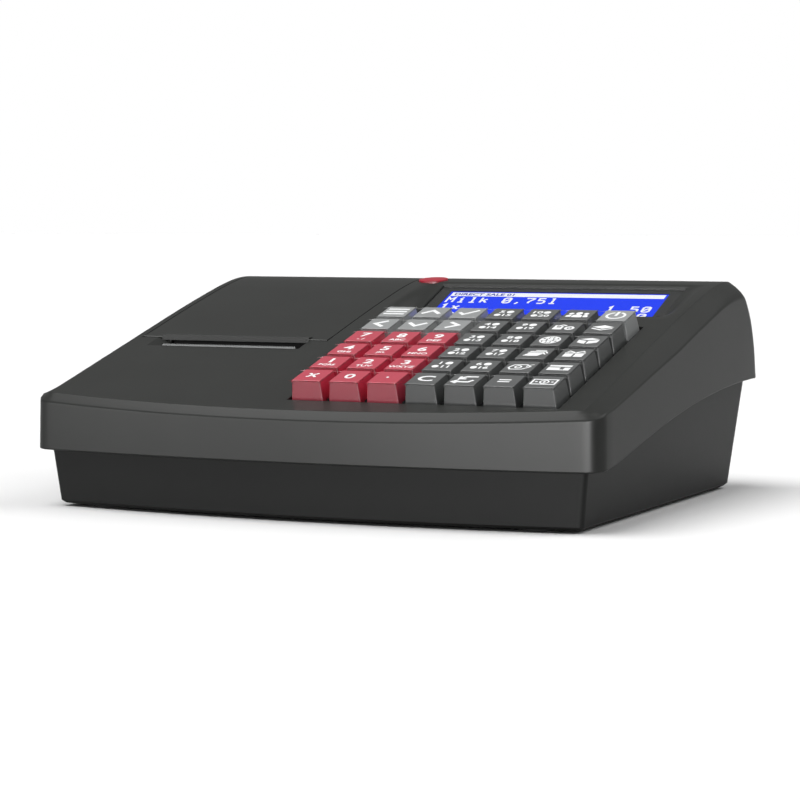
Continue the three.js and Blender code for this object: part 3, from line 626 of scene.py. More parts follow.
# Columns and rows of the upper case's skin; those of the bands along the edges come on top
gap_left = lid_left - lid_gap
gap_right = lid_right + lid_gap
columns = fill_between([-crease_x, gap_left, slot_left, slot_right, gap_right], column_step)
columns += fill_between([gap_right, window_left], pocket_step)[1:]
columns += fill_between([window_left, key_left, window_right], column_step)[1:]
columns += fill_between([window_right, key_right, window_right + dip_run], 2 * pocket_step)[1:] + [crease_x]
row_stops = sorted([
    key_front, slot_front, lid_front - lid_gap, key_front + key_run, window_lip, window_front, pocket_front,
])
rows = fill_between(row_stops, row_step)[:-1]
rows += fill_between([pocket_front, window_rear, pocket_back], pocket_step)[:-1]
rows.append(pocket_back)
arc_rows = [ridge_y]
for i, (_, centre_y, centre_z, radius) in enumerate(deck_arcs[3:]):
    start, end = deck_roll[i + 2][1], deck_roll[i + 3][1]
    count = round((start - end) / arc_step)
    turns = [start + (end - start) * k / count for k in range(1, count + 1)]
    arc_rows += [centre_y - radius * math.sin(turn) for turn in turns]
last_height = skirt_rear_height + last_row_rise
arc_rows[-1] = centre_y + math.sqrt(radius ** 2 - (last_height - centre_z) ** 2)
rows += [y for y in arc_rows if abs(y - lid_back - lid_gap) > column_step / 10]
rows = sorted(rows + [lid_back + lid_gap])

band_steps = len(band_shares) - 1
chamfer_steps = len(chamfer_shares) - 1
last_column = 2 * band_steps + len(columns) - 1
last_row = chamfer_steps + len(rows)
corner_row_y = chamfer_depth - half_depth


def mix(a, b, share):
    return a + (b - a) * share


def nominal_x(i):
    """Where a column lies before the case's edges bend it."""
    if i < band_steps:
        return -half_width + crease_inset * band_shares[i]
    if i > last_column - band_steps:
        return half_width - crease_inset * band_shares[last_column - i]
    return columns[i - band_steps]


def nominal_y(j):
    """Where a row lies before the case's edges bend it."""
    if j <= chamfer_steps:
        return corner_row_y - chamfer_depth * (chamfer_steps - j)
    return rows[j - chamfer_steps - 1]


def front_corner(side, turn, draft):
    """The top of the wall round a front corner: turn 0 meets the side, 1 the front."""
    angle = turn * math.pi / 2
    x = half_width - draft - front_corner_radius * (1 - math.cos(angle))
    y = front_edge(x) + draft + front_corner_radius * (1 - math.sin(angle))
    deck = deck_height(mix(y, front_edge(x) + chamfer_depth, turn))
    return Vector((side * x, y, deck - mix(bevel_drop_front, chamfer_drop, turn)))


def front_point(x, share, draft):
    """A point of the front chamfer, at a share of the way from the wall to the crease."""
    crease_y = front_edge(x) + chamfer_depth
    top = deck_height(crease_y)
    return Vector((x, front_edge(x) + draft, top - chamfer_drop)).lerp(Vector((x, crease_y, top)), share)


def corner_patch(side, across, along, draft):
    """A point of the patch between the two bands at a front corner."""
    tip = front_corner(side, 0.5, draft)
    front_end = front_corner(side, 1, draft)
    side_end = front_corner(side, 0, draft)
    crease = front_point(side * crease_x, 1, draft)
    wall_front = front_corner(side, 0.5 + across / 2, draft)
    wall_side = front_corner(side, 0.5 - along / 2, draft)
    low_high = mix(wall_front, mix(side_end, crease, across), along)
    left_right = mix(wall_side, mix(front_end, crease, along), across)
    flat = mix(mix(tip, front_end, across), mix(side_end, crease, across), along)
    return low_high + left_right - flat


def deck_point(side, x, column_x, across, j, draft):
    """A point behind the front crease; across is 0 at the case's side and 1 from the crease inwards."""
    start = mix(front_corner(side, 0, draft).y, front_edge(crease_x) + chamfer_depth, across)
    weight = 1
    if across == 1:
        start = front_edge(x) + chamfer_depth
        weight = smooth_step(key_right, crease_x, abs(x))
    y = nominal_y(j)
    if y < row_anchor:
        share = (y - corner_row_y) / (row_anchor - corner_row_y)
        y = mix(y, mix(start, row_anchor, share), weight if j > chamfer_steps else 1)
    behind = clamp((y - ridge_y) / rear_corner_fade)
    along = clamp((y + half_depth) / (deck_straight_end + half_depth))
    out = 1 - across
    slope = mix(out, 1 - math.sqrt(1 - out * out), band_roundness * smooth_step(window_front, ridge_y, y))
    drop = mix(bevel_drop_front, bevel_drop_rear, along) * (1 - rear_band_fade * behind ** 2)
    height = deck_height(y) - slope * drop - window_dip(x, y)
    from_side = half_width - abs(column_x)
    y -= behind * draw_back(rear_corner_radius, 1 - from_side / rear_corner_radius)
    return Vector((x, y, last_height if j == last_row else height))


def shell_point(i, j, draft):
    """A point of the upper case's skin."""
    column_x = nominal_x(i)
    side = -1 if column_x < 0 else 1
    edge = min(i, last_column - i)
    across = band_shares[edge] if edge < band_steps else 1
    if j <= chamfer_steps:
        if edge <= band_steps:
            return corner_patch(side, across, chamfer_shares[j], draft)
        return front_point(column_x, chamfer_shares[j], draft)
    x = side * mix(half_width - draft, crease_x, across) if edge < band_steps else column_x
    return deck_point(side, x, column_x, across, j, draft)


# Kinds of edge on the upper case's skin; each is rounded in its own way
CREASE, SHOULDER, RIM, FOOT = 1, 2, 3, 4


def skin_layers(mesh):
    """What the upper case's skin notes: the column and row of a vertex, and the kind of an edge."""
    return mesh.verts.layers.int["column"], mesh.verts.layers.int["row"], mesh.edges.layers.int["kind"]


def on_border(edge):
    """Whether an edge has one selected face."""
    return sum(face.select for face in edge.link_faces) == 1


def mark_opening(mesh, left, right, front, back):
    """Selects the cells of one opening and marks the edges round it."""
    column, row, kind = skin_layers(mesh)
    slack = 0.01 * MM

    def inside(face):
        flat = all(len({vertex[way] for vertex in face.verts}) > 1 for way in (column, row))
        return flat and all(
            left - slack <= nominal_x(vertex[column]) <= right + slack
            and front - slack <= nominal_y(vertex[row]) <= back + slack
            for vertex in face.verts
        )

    for face in mesh.faces:
        if not face.select and inside(face):
            face.select_set(True)
    for edge in mesh.edges:
        if on_border(edge):
            edge[kind] = RIM


def sink_opening(piece, boxes, floor):
    """Sinks the cells of an opening to a floor, then takes the floor out."""
    bpy.ops.mesh.select_all(action="DESELECT")
    bpy.ops.mesh.select_mode(type="FACE")
    mesh = bmesh.from_edit_mesh(piece.data)
    for box in boxes:
        mark_opening(mesh, *box)
    bmesh.update_edit_mesh(piece.data)
    extrude()
    mesh = bmesh.from_edit_mesh(piece.data)
    for vertex in mesh.verts:
        if vertex.select:
            vertex.co = floor(vertex.co)
    bmesh.update_edit_mesh(piece.data)
    bpy.ops.mesh.delete(type="FACE")


def sink_pocket(piece):
    """The button's round pocket: rings from the square of cells round it to its rim, then its wall."""
    bpy.ops.mesh.select_all(action="DESELECT")
    bpy.ops.mesh.select_mode(type="FACE")
    mesh = bmesh.from_edit_mesh(piece.data)
    kind = skin_layers(mesh)[2]
    kept = {edge: edge[kind] for edge in mesh.edges}
    mark_opening(mesh, gap_right, window_left, pocket_front, pocket_back)
    for edge, value in kept.items():
        edge[kind] = value
    patch = [face for face in mesh.faces if face.select]
    patch_edges = {edge for face in patch for edge in face.edges}
    border = [edge for edge in patch_edges if on_border(edge)]
    square = {vertex for edge in border for vertex in edge.verts}
    bmesh.ops.delete(mesh, geom=patch, context="FACES")

    def bearing(vertex):
        return math.atan2((vertex.co.y - button_y) / math.cos(button_tilt), vertex.co.x - button_x)

    ring = sorted(square, key=bearing)
    angles = [bearing(vertex) for vertex in ring]
    places = [vertex.co.copy() for vertex in ring]
    for share in (0.5, 1, "wall"):
        new_ring = []
        for angle, place in zip(angles, places):
            spot = Vector((math.cos(angle), math.sin(angle), 0)) * pocket_radius
            rim = button_place @ spot
            if share == "wall":
                co = button_place @ (spot - Vector((0, 0, pocket_depth)))
            else:
                co = place.lerp(rim, share)
                co.z = deck_height(co.y) - window_dip(co.x, co.y)
            new_ring.append(mesh.verts.new(co))
        for a in range(len(ring)):
            b = (a + 1) % len(ring)
            mesh.faces.new((ring[a], ring[b], new_ring[b], new_ring[a]))
        if share == 1:
            rim_edges = [mesh.edges.get((new_ring[a - 1], new_ring[a])) for a in range(len(new_ring))]
        ring = new_ring
    for edge in rim_edges:
        edge[kind] = RIM
    mesh.faces.new(ring)
    bmesh.update_edit_mesh(piece.data)


def keep_in_box(vertices):
    """Brings points that rounding or thickness pushed out back to the case's sides and back."""
    for vertex in vertices:
        vertex.co.x = min(half_width, max(-half_width, vertex.co.x))
        vertex.co.y = min(half_depth, vertex.co.y)


def upper_case():
    """The upper case: one skin from wall to wall with its openings, rounded along its edges."""
    deselect()
    bpy.ops.mesh.primitive_grid_add(x_subdivisions=last_column, y_subdivisions=last_row, size=2)
    piece = start_edit("upper_case_shell")
    mesh = bmesh.from_edit_mesh(piece.data)
    column = mesh.verts.layers.int.new("column")
    row = mesh.verts.layers.int.new("row")
    kind = mesh.edges.layers.int.new("kind")
    for vertex in mesh.verts:
        vertex[column] = round((vertex.co.x + 1) / 2 * last_column)
        vertex[row] = round((vertex.co.y + 1) / 2 * last_row)
    for vertex in mesh.verts:
        vertex.co = shell_point(vertex[column], vertex[row], wall_draft)
    for edge in mesh.edges:
        a, b = edge.verts
        edges = {min(a[column], last_column - a[column]), min(b[column], last_column - b[column])}
        if edges == {band_steps} and min(a[row], b[row]) >= chamfer_steps:
            edge[kind] = CREASE
        if a[row] == b[row] == chamfer_steps and min(edges) >= band_steps:
            edge[kind] = CREASE
        if edge.is_boundary:
            edge[kind] = SHOULDER
    bmesh.update_edit_mesh(piece.data)

    deck_down = Vector((0, math.sin(deck_tilt), -math.cos(deck_tilt)))

    def lid_floor(co):
        """The walls of the lid's opening; the slot's left end slopes down into it."""
        left_end = abs(co.x - slot_left) < MM and co.y < lid_front
        return co + deck_down * opening_wall + Vector((slot_end_slope if left_end else 0, 0, 0))

    lid_box = (gap_left, gap_right, lid_front - lid_gap, lid_back + lid_gap)
    slot_box = (slot_left, slot_right, slot_front, lid_front - lid_gap)
    key_box = (key_left, key_right, key_front, key_front + key_run)
    window_box = (window_left, window_right, window_lip, window_rear)
    sink_opening(piece, [key_box], lambda co: co + deck_down * keyboard_wall)
    sink_opening(piece, [lid_box, slot_box], lid_floor)
    sink_opening(piece, [window_box], lambda co: Vector((co.x, co.y, window_floor(co.y) - skin_thickness)))
    sink_pocket(piece)

    kind = skin_layers(bmesh.from_edit_mesh(piece.data))[2]
    pick(piece, "EDGE", lambda edge: edge.is_boundary and edge[kind] == SHOULDER)
    for inset, new_kind in ((0, FOOT), (foot_edge_lip, 0)):
        bpy.ops.mesh.extrude_edges_move()
        mesh = bmesh.from_edit_mesh(piece.data)
        column, row, kind = skin_layers(mesh)
        for vertex in mesh.verts:
            if vertex.select:
                co = shell_point(vertex[column], vertex[row], inset)
                if vertex[row] == last_row:
                    co.y -= inset
                vertex.co = (co.x, co.y, skirt_height(co.y))
        for edge in mesh.edges:
            if edge.select:
                edge[kind] = new_kind
        bmesh.update_edit_mesh(piece.data)

    turn_faces_out()
    for wanted, width, segments in (
        (FOOT, foot_edge_round, 3), (SHOULDER, shoulder_round, 3),
        (CREASE, crease_round, 2), (RIM, rim_round, 2),
    ):
        kind = skin_layers(bmesh.from_edit_mesh(piece.data))[2]
        pick(piece, "EDGE", lambda edge: edge[kind] == wanted and len(edge.link_faces) == 2)
        round_edges(width, segments)
    keep_in_box(bmesh.from_edit_mesh(piece.data).verts)
    bmesh.update_edit_mesh(piece.data)
    end_edit(piece)
    add_wall(piece, skin_thickness)
    apply_modifiers(piece)
    keep_in_box(piece.data.vertices)
    shade(piece)
    return dress(piece, "case", charcoal, "upper_case", "upper_case")


# Printer lid

lid_thickness = 2.2 * MM
lid_front_lift = 0.3 * MM
lip_height = 1.5 * MM
lip_length = 5.5 * MM
lip_left_gap = 2.4 * MM
lip_right_gap = 0.2 * MM
lip_below = 1.4 * MM
cheek_thickness = 3 * MM
cheek_half_width = 5 * MM
cheek_gap = 0.6 * MM
lip_overhang = 0.15 * MM
# Faces at the lid's front edge that lean up and forward by more than this get the painted highlight.
highlight_slant = 0.25
platen_y, platen_z = joints["platen_spin"]["pos_m"][1:]
platen_low, platen_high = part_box("platen_roller")
platen_radius = (platen_high.z - platen_low.z) / 2
platen_shaft = 2 * MM
platen_shaft_overhang = 5 * MM
platen_half = (platen_high.x - platen_low.x) / 2 - platen_shaft_overhang
print_x = (platen_low.x + platen_high.x) / 2


def lid_plate():
    """The plate of the lid, which follows the deck."""
    between = [y for y in rows if lid_front + row_step / 3 < y < hinge_y - MM]
    lid_rows = [lid_front, *between, hinge_y]
    across = fill_between([lid_left, lid_right], column_step)

    def place(i, j):
        y = lid_rows[j]
        return across[i], y, deck_height(y) + (lid_front_lift if j == 0 else 0)

    piece = grid("printer_lid_cover", len(across) - 1, len(lid_rows) - 1, place)
    end_edit(piece)
    add_wall(piece, lid_thickness)
    add_rounding(piece, rim_round, 40)
    return apply_modifiers(piece)


def lid_lip():
    """The lip over the paper slot, square in front; behind, the rising plate takes it in."""
    front = lid_front - lip_overhang
    top = deck_height(front) + lip_height
    piece = block(
        "lip", (slot_left + lip_left_gap, front, top - lip_height - lip_below),
        (slot_right - lip_right_gap, front + lip_length, top),
    )
    return end_edit(piece)


def lid_cheek(side):
    """One of the two cheeks that carry the platen."""
    inside = print_x + side * (platen_half + cheek_gap)
    x = inside + side * cheek_thickness / 2
    eye = turned(
        "eye", [(-cheek_thickness / 2, cheek_half_width), (cheek_thickness / 2, cheek_half_width)], 48,
        turned_on_x((x, platen_y, platen_z)),
    )
    arm = block(
        "arm", (x - cheek_thickness / 2, platen_y - cheek_half_width, platen_z),
        (x + cheek_thickness / 2, platen_y + cheek_half_width, deck_height(platen_y) - lid_thickness),
    )
    return [eye, end_edit(arm)]


def printer_lid():
    """The lid: plate, hinge barrel, lip and cheeks, with a painted highlight along the edge at its front."""
    barrel = turned(
        "barrel",
        [
            (lid_left, barrel_radius - rim_round), (lid_left + rim_round, barrel_radius),
            (lid_right - rim_round, barrel_radius), (lid_right, barrel_radius - rim_round),
        ],
        96, turned_on_x((0, hinge_y, hinge_z)),
    )
    piece = join([lid_plate(), barrel, lid_lip(), *lid_cheek(-1), *lid_cheek(1)])
    shade(piece)
    dress(piece, "lid", charcoal, "upper_case", "printer_lid")
    # The faces along the front edge that face up and forward get the lighter charcoal, a painted highlight.
    piece.data.materials.append(painted_edge_highlight)
    for face in piece.data.polygons:
        in_front = face.center.y < lid_front + MM and face.center.z > deck_height(lid_front) - MM
        face.material_index = int(in_front and face.normal.y < -highlight_slant and face.normal.z > highlight_slant)
    return piece


# Lower case

tub_edge_round = 0.6 * MM
same_plane = math.radians(0.5)


def lower_case():
    """The lower case keeps the shape of its node, with its edges rounded."""
    piece = frame["nodes"]["lower_case"].copy()
    piece.data = piece.data.copy()
    bpy.context.scene.collection.objects.link(piece)
    piece.parent = None
    for key in list(piece.keys()):
        del piece[key]
    piece.name = "lower_case_tub"
    only(piece)
    bpy.ops.object.mode_set(mode="EDIT")
    bpy.ops.mesh.select_all(action="SELECT")
    bpy.ops.mesh.remove_doubles(threshold=0.01 * MM)
    bpy.ops.mesh.customdata_custom_splitnormals_clear()
    bpy.ops.mesh.dissolve_limited(angle_limit=same_plane)
    end_edit(piece)
    add_rounding(piece, tub_edge_round, 38)
    apply_modifiers(piece)
    shade(piece)
    return dress(piece, "case", black_case, "lower_case", "lower_case")


# Keys


def key_master():
    """One key in the keyboard's frame: a tapered body, a fine groove and a flat top plate, on its stem."""
    piece = block(
        "key", (-key_base.x / 2, -key_base.y / 2, -key_sink), (key_base.x / 2, key_base.y / 2, 0),
    )
    pick(piece, "FACE", lambda face: middle(face).z > -key_sink / 2 and face.normal.z > 0.5)
    groove_low = key_rise - key_plate
    groove_high = key_rise - key_plate + key_groove * 1.5
    height, size = 0, key_base
    for next_height, inset in (
        (0, 0), (groove_low, 0), (groove_low, key_groove), (groove_high, key_groove), (groove_high, 0),
        (key_rise, 0),
    ):
        taper = (next_height + key_sink) / (key_rise + key_sink)
        next_size = key_base.lerp(key_top, taper) - Vector((inset, inset)) * 2
        if height > 0:
            extrude((0, 0, next_height - height))
        else:
            bpy.ops.transform.translate(value=(0, 0, next_height))
        resize((next_size.x / size.x, next_size.y / size.y, 1), (0, 0, next_height))
        height, size = next_height, next_size

    pick(piece, "EDGE", lambda edge: upright(edge, MM / 3))
    round_edges(key_corner_round, 3)
    pick(piece, "EDGE", lambda edge: all(vertex.co.z > key_rise - MM / 50 for vertex in edge.verts))
    round_edges(key_edge_round, 2)
    end_edit(piece, 40)
    stem = block(
        "stem", (-key_stem / 2, -key_stem / 2, -key_stem_length),
        (key_stem / 2, key_stem / 2, -key_sink + MM / 2),
    )
    pick(stem, "EDGE", lambda edge: middle(edge).z < -MM)
    round_edges(key_stem_round)
    end_edit(stem)
    return shade(join([piece, stem]), 40)


def key_place(row, column):
    """The middle of a key in the keyboard's frame. Rows count from the front, columns from the left."""
    x = (column - (key_columns + 1) / 2) * key_pitch
    y = (row - (key_rows + 1) / 2) * key_pitch
    return keyboard @ Matrix.Translation((x, y, 0))


def key_finish(row, column):
    """The plastic of a key and its material slot."""
    if column <= red_columns and row <= red_rows:
        return red_cap, "key_red"
    if column <= red_columns or (row, column) == (key_rows, key_columns):
        return light_cap, "key_light"
    return dark_cap, "key_dark"


def keys():
    """The keys, each a copy of the one that was modelled."""
    master = key_master()
    for row, column in key_spots:
        key = master.copy()
        key.data = master.data.copy()
        key.name = f"keycap_r{row}_c{column}"
        bpy.context.scene.collection.objects.link(key)
        key.data.transform(key_place(row, column))
        node = f"key_r{row}_c{column}"
        cap, slot = key_finish(row, column)
        dress(key, node, cap, slot, node)
    bpy.data.objects.remove(master)


# Legends: ink laid on the key tops, drawn in millimetres about the middle of a key

ink_sink = 0.03 * MM
ink_thickness = 0.07 * MM
stroke = 1.5
thin_stroke = 0.9
sharpest_mitre = 0.35


def ink_layer(name, shapes, thickness=ink_thickness, sink=ink_sink):
    """A thin closed layer from flat shapes in millimetres, each one or more rings that share corners."""
    data = bpy.data.meshes.new(name)
    mesh = bmesh.new()
    for rings in shapes:
        low, high, ways = {}, {}, set()
        for ring in rings:
            turn = sum(a[0] * b[1] - a[1] * b[0] for a, b in zip(ring, ring[1:] + ring[:1]))
            ring = ring if turn > 0 else ring[::-1]
            for x, y in ring:
                if (x, y) not in low:
                    low[x, y] = mesh.verts.new((x * MM, y * MM, -sink))
                    high[x, y] = mesh.verts.new((x * MM, y * MM, thickness - sink))
            mesh.faces.new([high[point] for point in ring])
            mesh.faces.new([low[point] for point in reversed(ring)])
            ways |= set(zip(ring, ring[1:] + ring[:1]))
        for a, b in sorted(ways):
            if (b, a) not in ways:
                mesh.faces.new((low[a], low[b], high[b], high[a]))
    mesh.to_mesh(data)
    mesh.free()
    piece = bpy.data.objects.new(name, data)
    bpy.context.scene.collection.objects.link(piece)
    return piece


def ribbon(points, width=stroke, closed=False):
    """A stroke of even width along points, with mitred corners."""
    points = [Vector(point) for point in points]
    count = len(points)
    left, right = [], []
    for i, point in enumerate(points):
        before = points[i - 1] if i or closed else None
        after = points[(i + 1) % count] if i < count - 1 or closed else None
        ways = [(b - a).normalized() for a, b in ((before, point), (point, after)) if a and b]
        way = sum(ways, Vector((0, 0))).normalized()
        side = Vector((-way.y, way.x))
        reach = width / 2 / max(sharpest_mitre, side.dot(Vector((-ways[0].y, ways[0].x))))
        left.append(tuple(point + side * reach))
        right.append(tuple(point - side * reach))
    last = count if closed else count - 1
    return [[[right[i], right[(i + 1) % count], left[(i + 1) % count], left[i]] for i in range(last)]]


def patch(ring):
    """A filled shape inside a ring of points."""
    return [[ring]]


def arc(x, y, radius, start=0, end=360, sides=24):
    """Points along an arc, in degrees anticlockwise from the right."""
    steps = max(2, round(sides * abs(end - start) / 360))
    whole = abs(end - start) == 360
    turns = [math.radians(start + (end - start) * i / steps) for i in range(steps if whole else steps + 1)]
    return [(x + radius * math.cos(turn), y + radius * math.sin(turn)) for turn in turns]


def disc(x, y, radius):
    return patch(arc(x, y, radius))


def ring(x, y, radius, width=thin_stroke):
    return ribbon(arc(x, y, radius), width, True)


def bar(x0, y0, x1, y1):
    return patch([(x0, y0), (x1, y0), (x1, y1), (x0, y1)])


def lettering(text, x, y, height, stretch=1.3, thickness=ink_thickness, sink=ink_sink):
    """Letters or numbers centred at a place, as a thin closed layer."""
    deselect()
    bpy.ops.object.text_add(location=(0, 0, 0))
    piece = bpy.context.object
    piece.data.body = text
    piece.data.resolution_u = 4
    piece.data.offset = 0.02
    piece.data.extrude = 0.5
    bpy.ops.object.convert(target="MESH")
    piece = bpy.context.object
    bpy.ops.object.mode_set(mode="EDIT")
    bpy.ops.mesh.select_all(action="SELECT")
    bpy.ops.mesh.remove_doubles(threshold=0.0001)
    bpy.ops.object.mode_set(mode="OBJECT")
    corners = [vertex.co for vertex in piece.data.vertices]
    low = Vector((min(c.x for c in corners), min(c.y for c in corners)))
    high = Vector((max(c.x for c in corners), max(c.y for c in corners)))
    scale = height * MM / (high.y - low.y)
    centre = (low + high) / 2
    for vertex in piece.data.vertices:
        vertex.co.x = x * MM + (vertex.co.x - centre.x) * scale * stretch
        vertex.co.y = y * MM + (vertex.co.y - centre.y) * scale
        vertex.co.z = thickness - sink if vertex.co.z > 0 else -sink
    return piece


# Icons that stand on one key each
menu_bars = bar(-5.8, 2.9, 5.8, 4.6) + bar(-5.8, -0.85, 5.8, 0.85) + bar(-5.8, -4.6, 5.8, -2.9)
chevron_up = ribbon([(-4.9, -2.4), (0, 2.6), (4.9, -2.4)], 2)
chevron_down = ribbon([(-4.9, 2.4), (0, -2.6), (4.9, 2.4)], 2)
chevron_left = ribbon([(2.6, 4.4), (-3, 0), (2.6, -4.4)], 2)
chevron_right = ribbon([(-2.6, 4.4), (3, 0), (-2.6, -4.4)], 2)
tick = ribbon([(-4.6, 0.4), (-1.6, -2.8), (5, 4)], 1.8)
cross = ribbon([(-2.4, -2.6), (2.4, 2.6)], 1.3) + ribbon([(-2.4, 2.6), (2.4, -2.6)], 1.3)
equals = bar(-3, 0.7, 3, 1.9) + bar(-3, -1.9, 3, -0.7)
point_mark = disc(0, 0, 0.7)
power_mark = ribbon(arc(0, -0.4, 4.6, 112, 428), 1.3) + bar(-0.75, -0.8, 0.75, 5.4)
people = (
    disc(0, 2.1, 1.75) + disc(-4, 1.5, 1.35) + disc(4, 1.5, 1.35)
    + patch([(-2.7, -4), (2.7, -4)] + arc(0, -2.4, 2.7, 0, 180))
    + patch([(-5.9, -3.6), (-3.3, -3.6), (-3.1, -0.6), (-4.6, -0.3), (-5.8, -1.6)])
    + patch([(3.3, -3.6), (5.9, -3.6), (5.8, -1.6), (4.6, -0.3), (3.1, -0.6)])
)
drawer_coin = (
    bar(-5.4, -3.6, -0.6, -0.6) + bar(-5.4, -0.6, -4.1, 2.6) + bar(-1.9, -0.6, -0.6, 1.4)
    + ribbon([(-3.6, 1.2), (-1.6, 3.4), (0.6, 2.2)], 1.1) + ring(3.1, -1.3, 2, 1.2) + disc(3.1, -1.3, 0.6)
)
layers = (
    patch([(-5.6, 1.4), (0, -1.2), (5.6, 1.4), (0, 4)])
    + ribbon([(-5.4, -0.6), (0, -3.1), (5.4, -0.6)], 1.1)
)
coin_stack = ring(0, 0.1, 5, 0.8)
for coin_row, coin_reach in ((2.9, 2), (0.1, 3.1), (-2.7, 2)):
    for coin_x in (-1.12 * coin_reach, 0, 1.12 * coin_reach):
        coin_half = coin_reach / 2.2
        coin_stack += bar(coin_x - coin_half, coin_row - 1.15, coin_x + coin_half, coin_row + 1.15)
parcel = (
    patch([(-5.4, 1.4), (-0.9, -0.2), (-0.9, -4.4), (-5.2, -2.6)])
    + patch([(0, -0.2), (5.2, 1.6), (5, -2.4), (0, -4.4)])
    + patch([(-5, 2.4), (-0.4, 0.8), (4.9, 2.6), (0.4, 4.2)])
)
slips = (
    patch([(-5.2, -3.8), (2.4, -3.8), (4.4, 0.2), (-3.2, 0.2)])
    + ribbon([(-4.2, 1.2), (3.8, 1.2), (5.6, -1.6)], 0.8)
    + ribbon([(-3.4, 2.6), (4.8, 2.6), (6.2, 0.2)], 0.8) + bar(-1, 3.5, 4.6, 4.4)
)
gift = (
    bar(-5, -3.8, -0.5, 0.6) + bar(0.5, -3.8, 5, 0.6) + bar(-5.2, 1.2, 5.2, 2.1)
    + ribbon([(-0.4, 2.3), (-3.4, 4.4), (-4.4, 3)], 0.9) + ribbon([(0.4, 2.3), (3.4, 4.4), (4.4, 3)], 0.9)
)
price_tag = (
    ribbon([(-5.4, -1.2), (-3.6, 2.6), (2.6, 3.2), (5.2, 0.4), (2, -3.4), (-4, -3.6)], 0.9, True)
    + ring(-0.8, -0.2, 1.5, 0.9) + disc(3.2, 1, 0.6) + ribbon([(3.6, 1.5), (5.4, 3.4), (6.2, 3.2)], 0.6)
)
card = (
    bar(-5.6, 1.6, 5.6, 3.6) + bar(-5.6, -3.4, 5.6, -2.4)
    + bar(-5.6, -2.4, 0.6, 0.4) + bar(2.6, -2.4, 5.6, 0.4)
)
arrows = (
    ribbon([(-5, -3.2), (2.8, -3.2), (4.6, -0.6)], 1.5)
    + ribbon([(-2.8, -0.6), (-5.4, -3.2), (-2.8, -5)], 1.3)
    + ribbon([(5.4, 4), (-0.2, 4), (-2.8, 1.4)], 1.5)
    + ribbon([(-3.2, 4), (-3.2, 0.9), (0.4, 0.9)], 1.3)
)
banknote = (
    ribbon([(-5.9, -3.2), (5.9, -3.2), (5.9, 3.2), (-5.9, 3.2)], 0.9, True) + ring(0, 0, 2.1, 0.8)
    + bar(-0.5, -1.1, 0.5, 1.1) + disc(-4, 0, 0.7) + disc(4, 0, 0.7)
)
legends = {
    (6, 1): menu_bars, (6, 2): chevron_up, (6, 3): tick, (6, 6): people, (6, 7): power_mark,
    (5, 1): chevron_left, (5, 2): chevron_down, (5, 3): chevron_right, (5, 6): drawer_coin, (5, 7): layers,
    (4, 6): coin_stack, (4, 7): parcel, (3, 6): slips, (3, 7): gift, (2, 6): price_tag, (2, 7): card,
    (1, 1): cross, (1, 3): point_mark, (1, 5): arrows, (1, 6): equals, (1, 7): banknote,
}
digit_height = 5.9
letters_height = 2.7
zero_height = 6.2
clear_height = 7.2
item_height = 3.6
second_item_height = 3.3
key_letters = {
    (4, 1): ("7", "- /"), (4, 2): ("8", "ABC"), (4, 3): ("9", "DEF"),
    (3, 1): ("4", "GHI"), (3, 2): ("5", "JKL"), (3, 3): ("6", "MNO"),
    (2, 1): ("1", "PQRS"), (2, 2): ("2", "TUV"), (2, 3): ("3", "WXYZ"),
}


def legend_parts(row, column):
    """What is printed on one key, as flat pieces."""
    name = f"legend_r{row}_c{column}"
    if (row, column) in legends:
        return [ink_layer(name, legends[row, column])]
    if (row, column) in key_letters:
        digit, letters = key_letters[row, column]
        return [lettering(digit, 0, 2, digit_height), lettering(letters, 0, -4.4, letters_height, 1.2)]
    if row == 1:
        return [lettering("0", 0, 0, zero_height) if column == 2 else lettering("C", 0, 0, clear_height)]
    number = (row - 1) + 5 * (column - 4)
    middle_x = -1.9 if number < 10 else -2.4
    return [
        lettering(str(number), middle_x, 2.6, item_height),
        ink_layer(name, disc(2.5, 2.5, 1.95) + disc(-2.9, -2.5, 1.75)),
        lettering(str(number + 10), 2.3, -2.5, second_item_height),
    ]


def key_legends():
    """What is printed on the keys, one piece to a key."""
    for row, column in key_spots:
        piece = join(legend_parts(row, column))
        piece.name = f"legend_r{row}_c{column}"
        piece.data.transform(key_place(row, column) @ Matrix.Translation((0, 0, key_rise)))
        dress(piece, f"key_r{row}_c{column}", legend_white)


# Display: its window sits on a ledge behind the sloped lip; the lit panel lies under it

panel_width = 125.2 * MM
panel_length = 35.4 * MM
panel_shift = Vector((-0.6, 1.35)) * MM
panel_below = 1.45 * MM
panel_thickness = 5 * MM
panel_round = 0.4 * MM
lens_thickness = 1 * MM
lens_gap = 0.5 * MM
lens_corner = 1 * MM
lens_edge = 0.3 * MM
border_margin = 2 * MM
border_overlap = 0.2 * MM
border_thickness = 0.12 * MM
border_gap = 0.15 * MM
ledge_depth = 1.25 * MM
ledge_width = 2.2 * MM
ledge_inset = 0.3 * MM


def window_slope():
    """The sloped lip in front of the display and the ledge round its window."""
    def ledge(y):
        return y, window_floor(y) - ledge_depth

    stops = [
        (window_lip, window_floor(window_lip) - ledge_inset),
        (window_front - ledge_inset, window_floor(window_front)),
        ledge(window_front), ledge(window_front + ledge_width), ledge(window_rear - ledge_width),
        ledge(window_rear),
    ]
    across = [window_left, window_left + ledge_width, window_right - ledge_width, window_right]
    piece = grid("display_ledge", len(across) - 1, len(stops) - 1, lambda i, j: (across[i], *stops[j]))

    def in_window(face):
        x, y, _ = middle(face)
        return across[1] < x < across[2] and stops[3][0] < y < stops[4][0]

    pick(piece, "FACE", in_window)
    bpy.ops.mesh.delete(type="FACE")
    end_edit(piece)
    add_wall(piece, skin_thickness)
    apply_modifiers(piece)
    return dress(piece, "case", charcoal, "upper_case")


def on_window(x, y, z=0):
    return window @ Matrix.Translation((x, y, z))


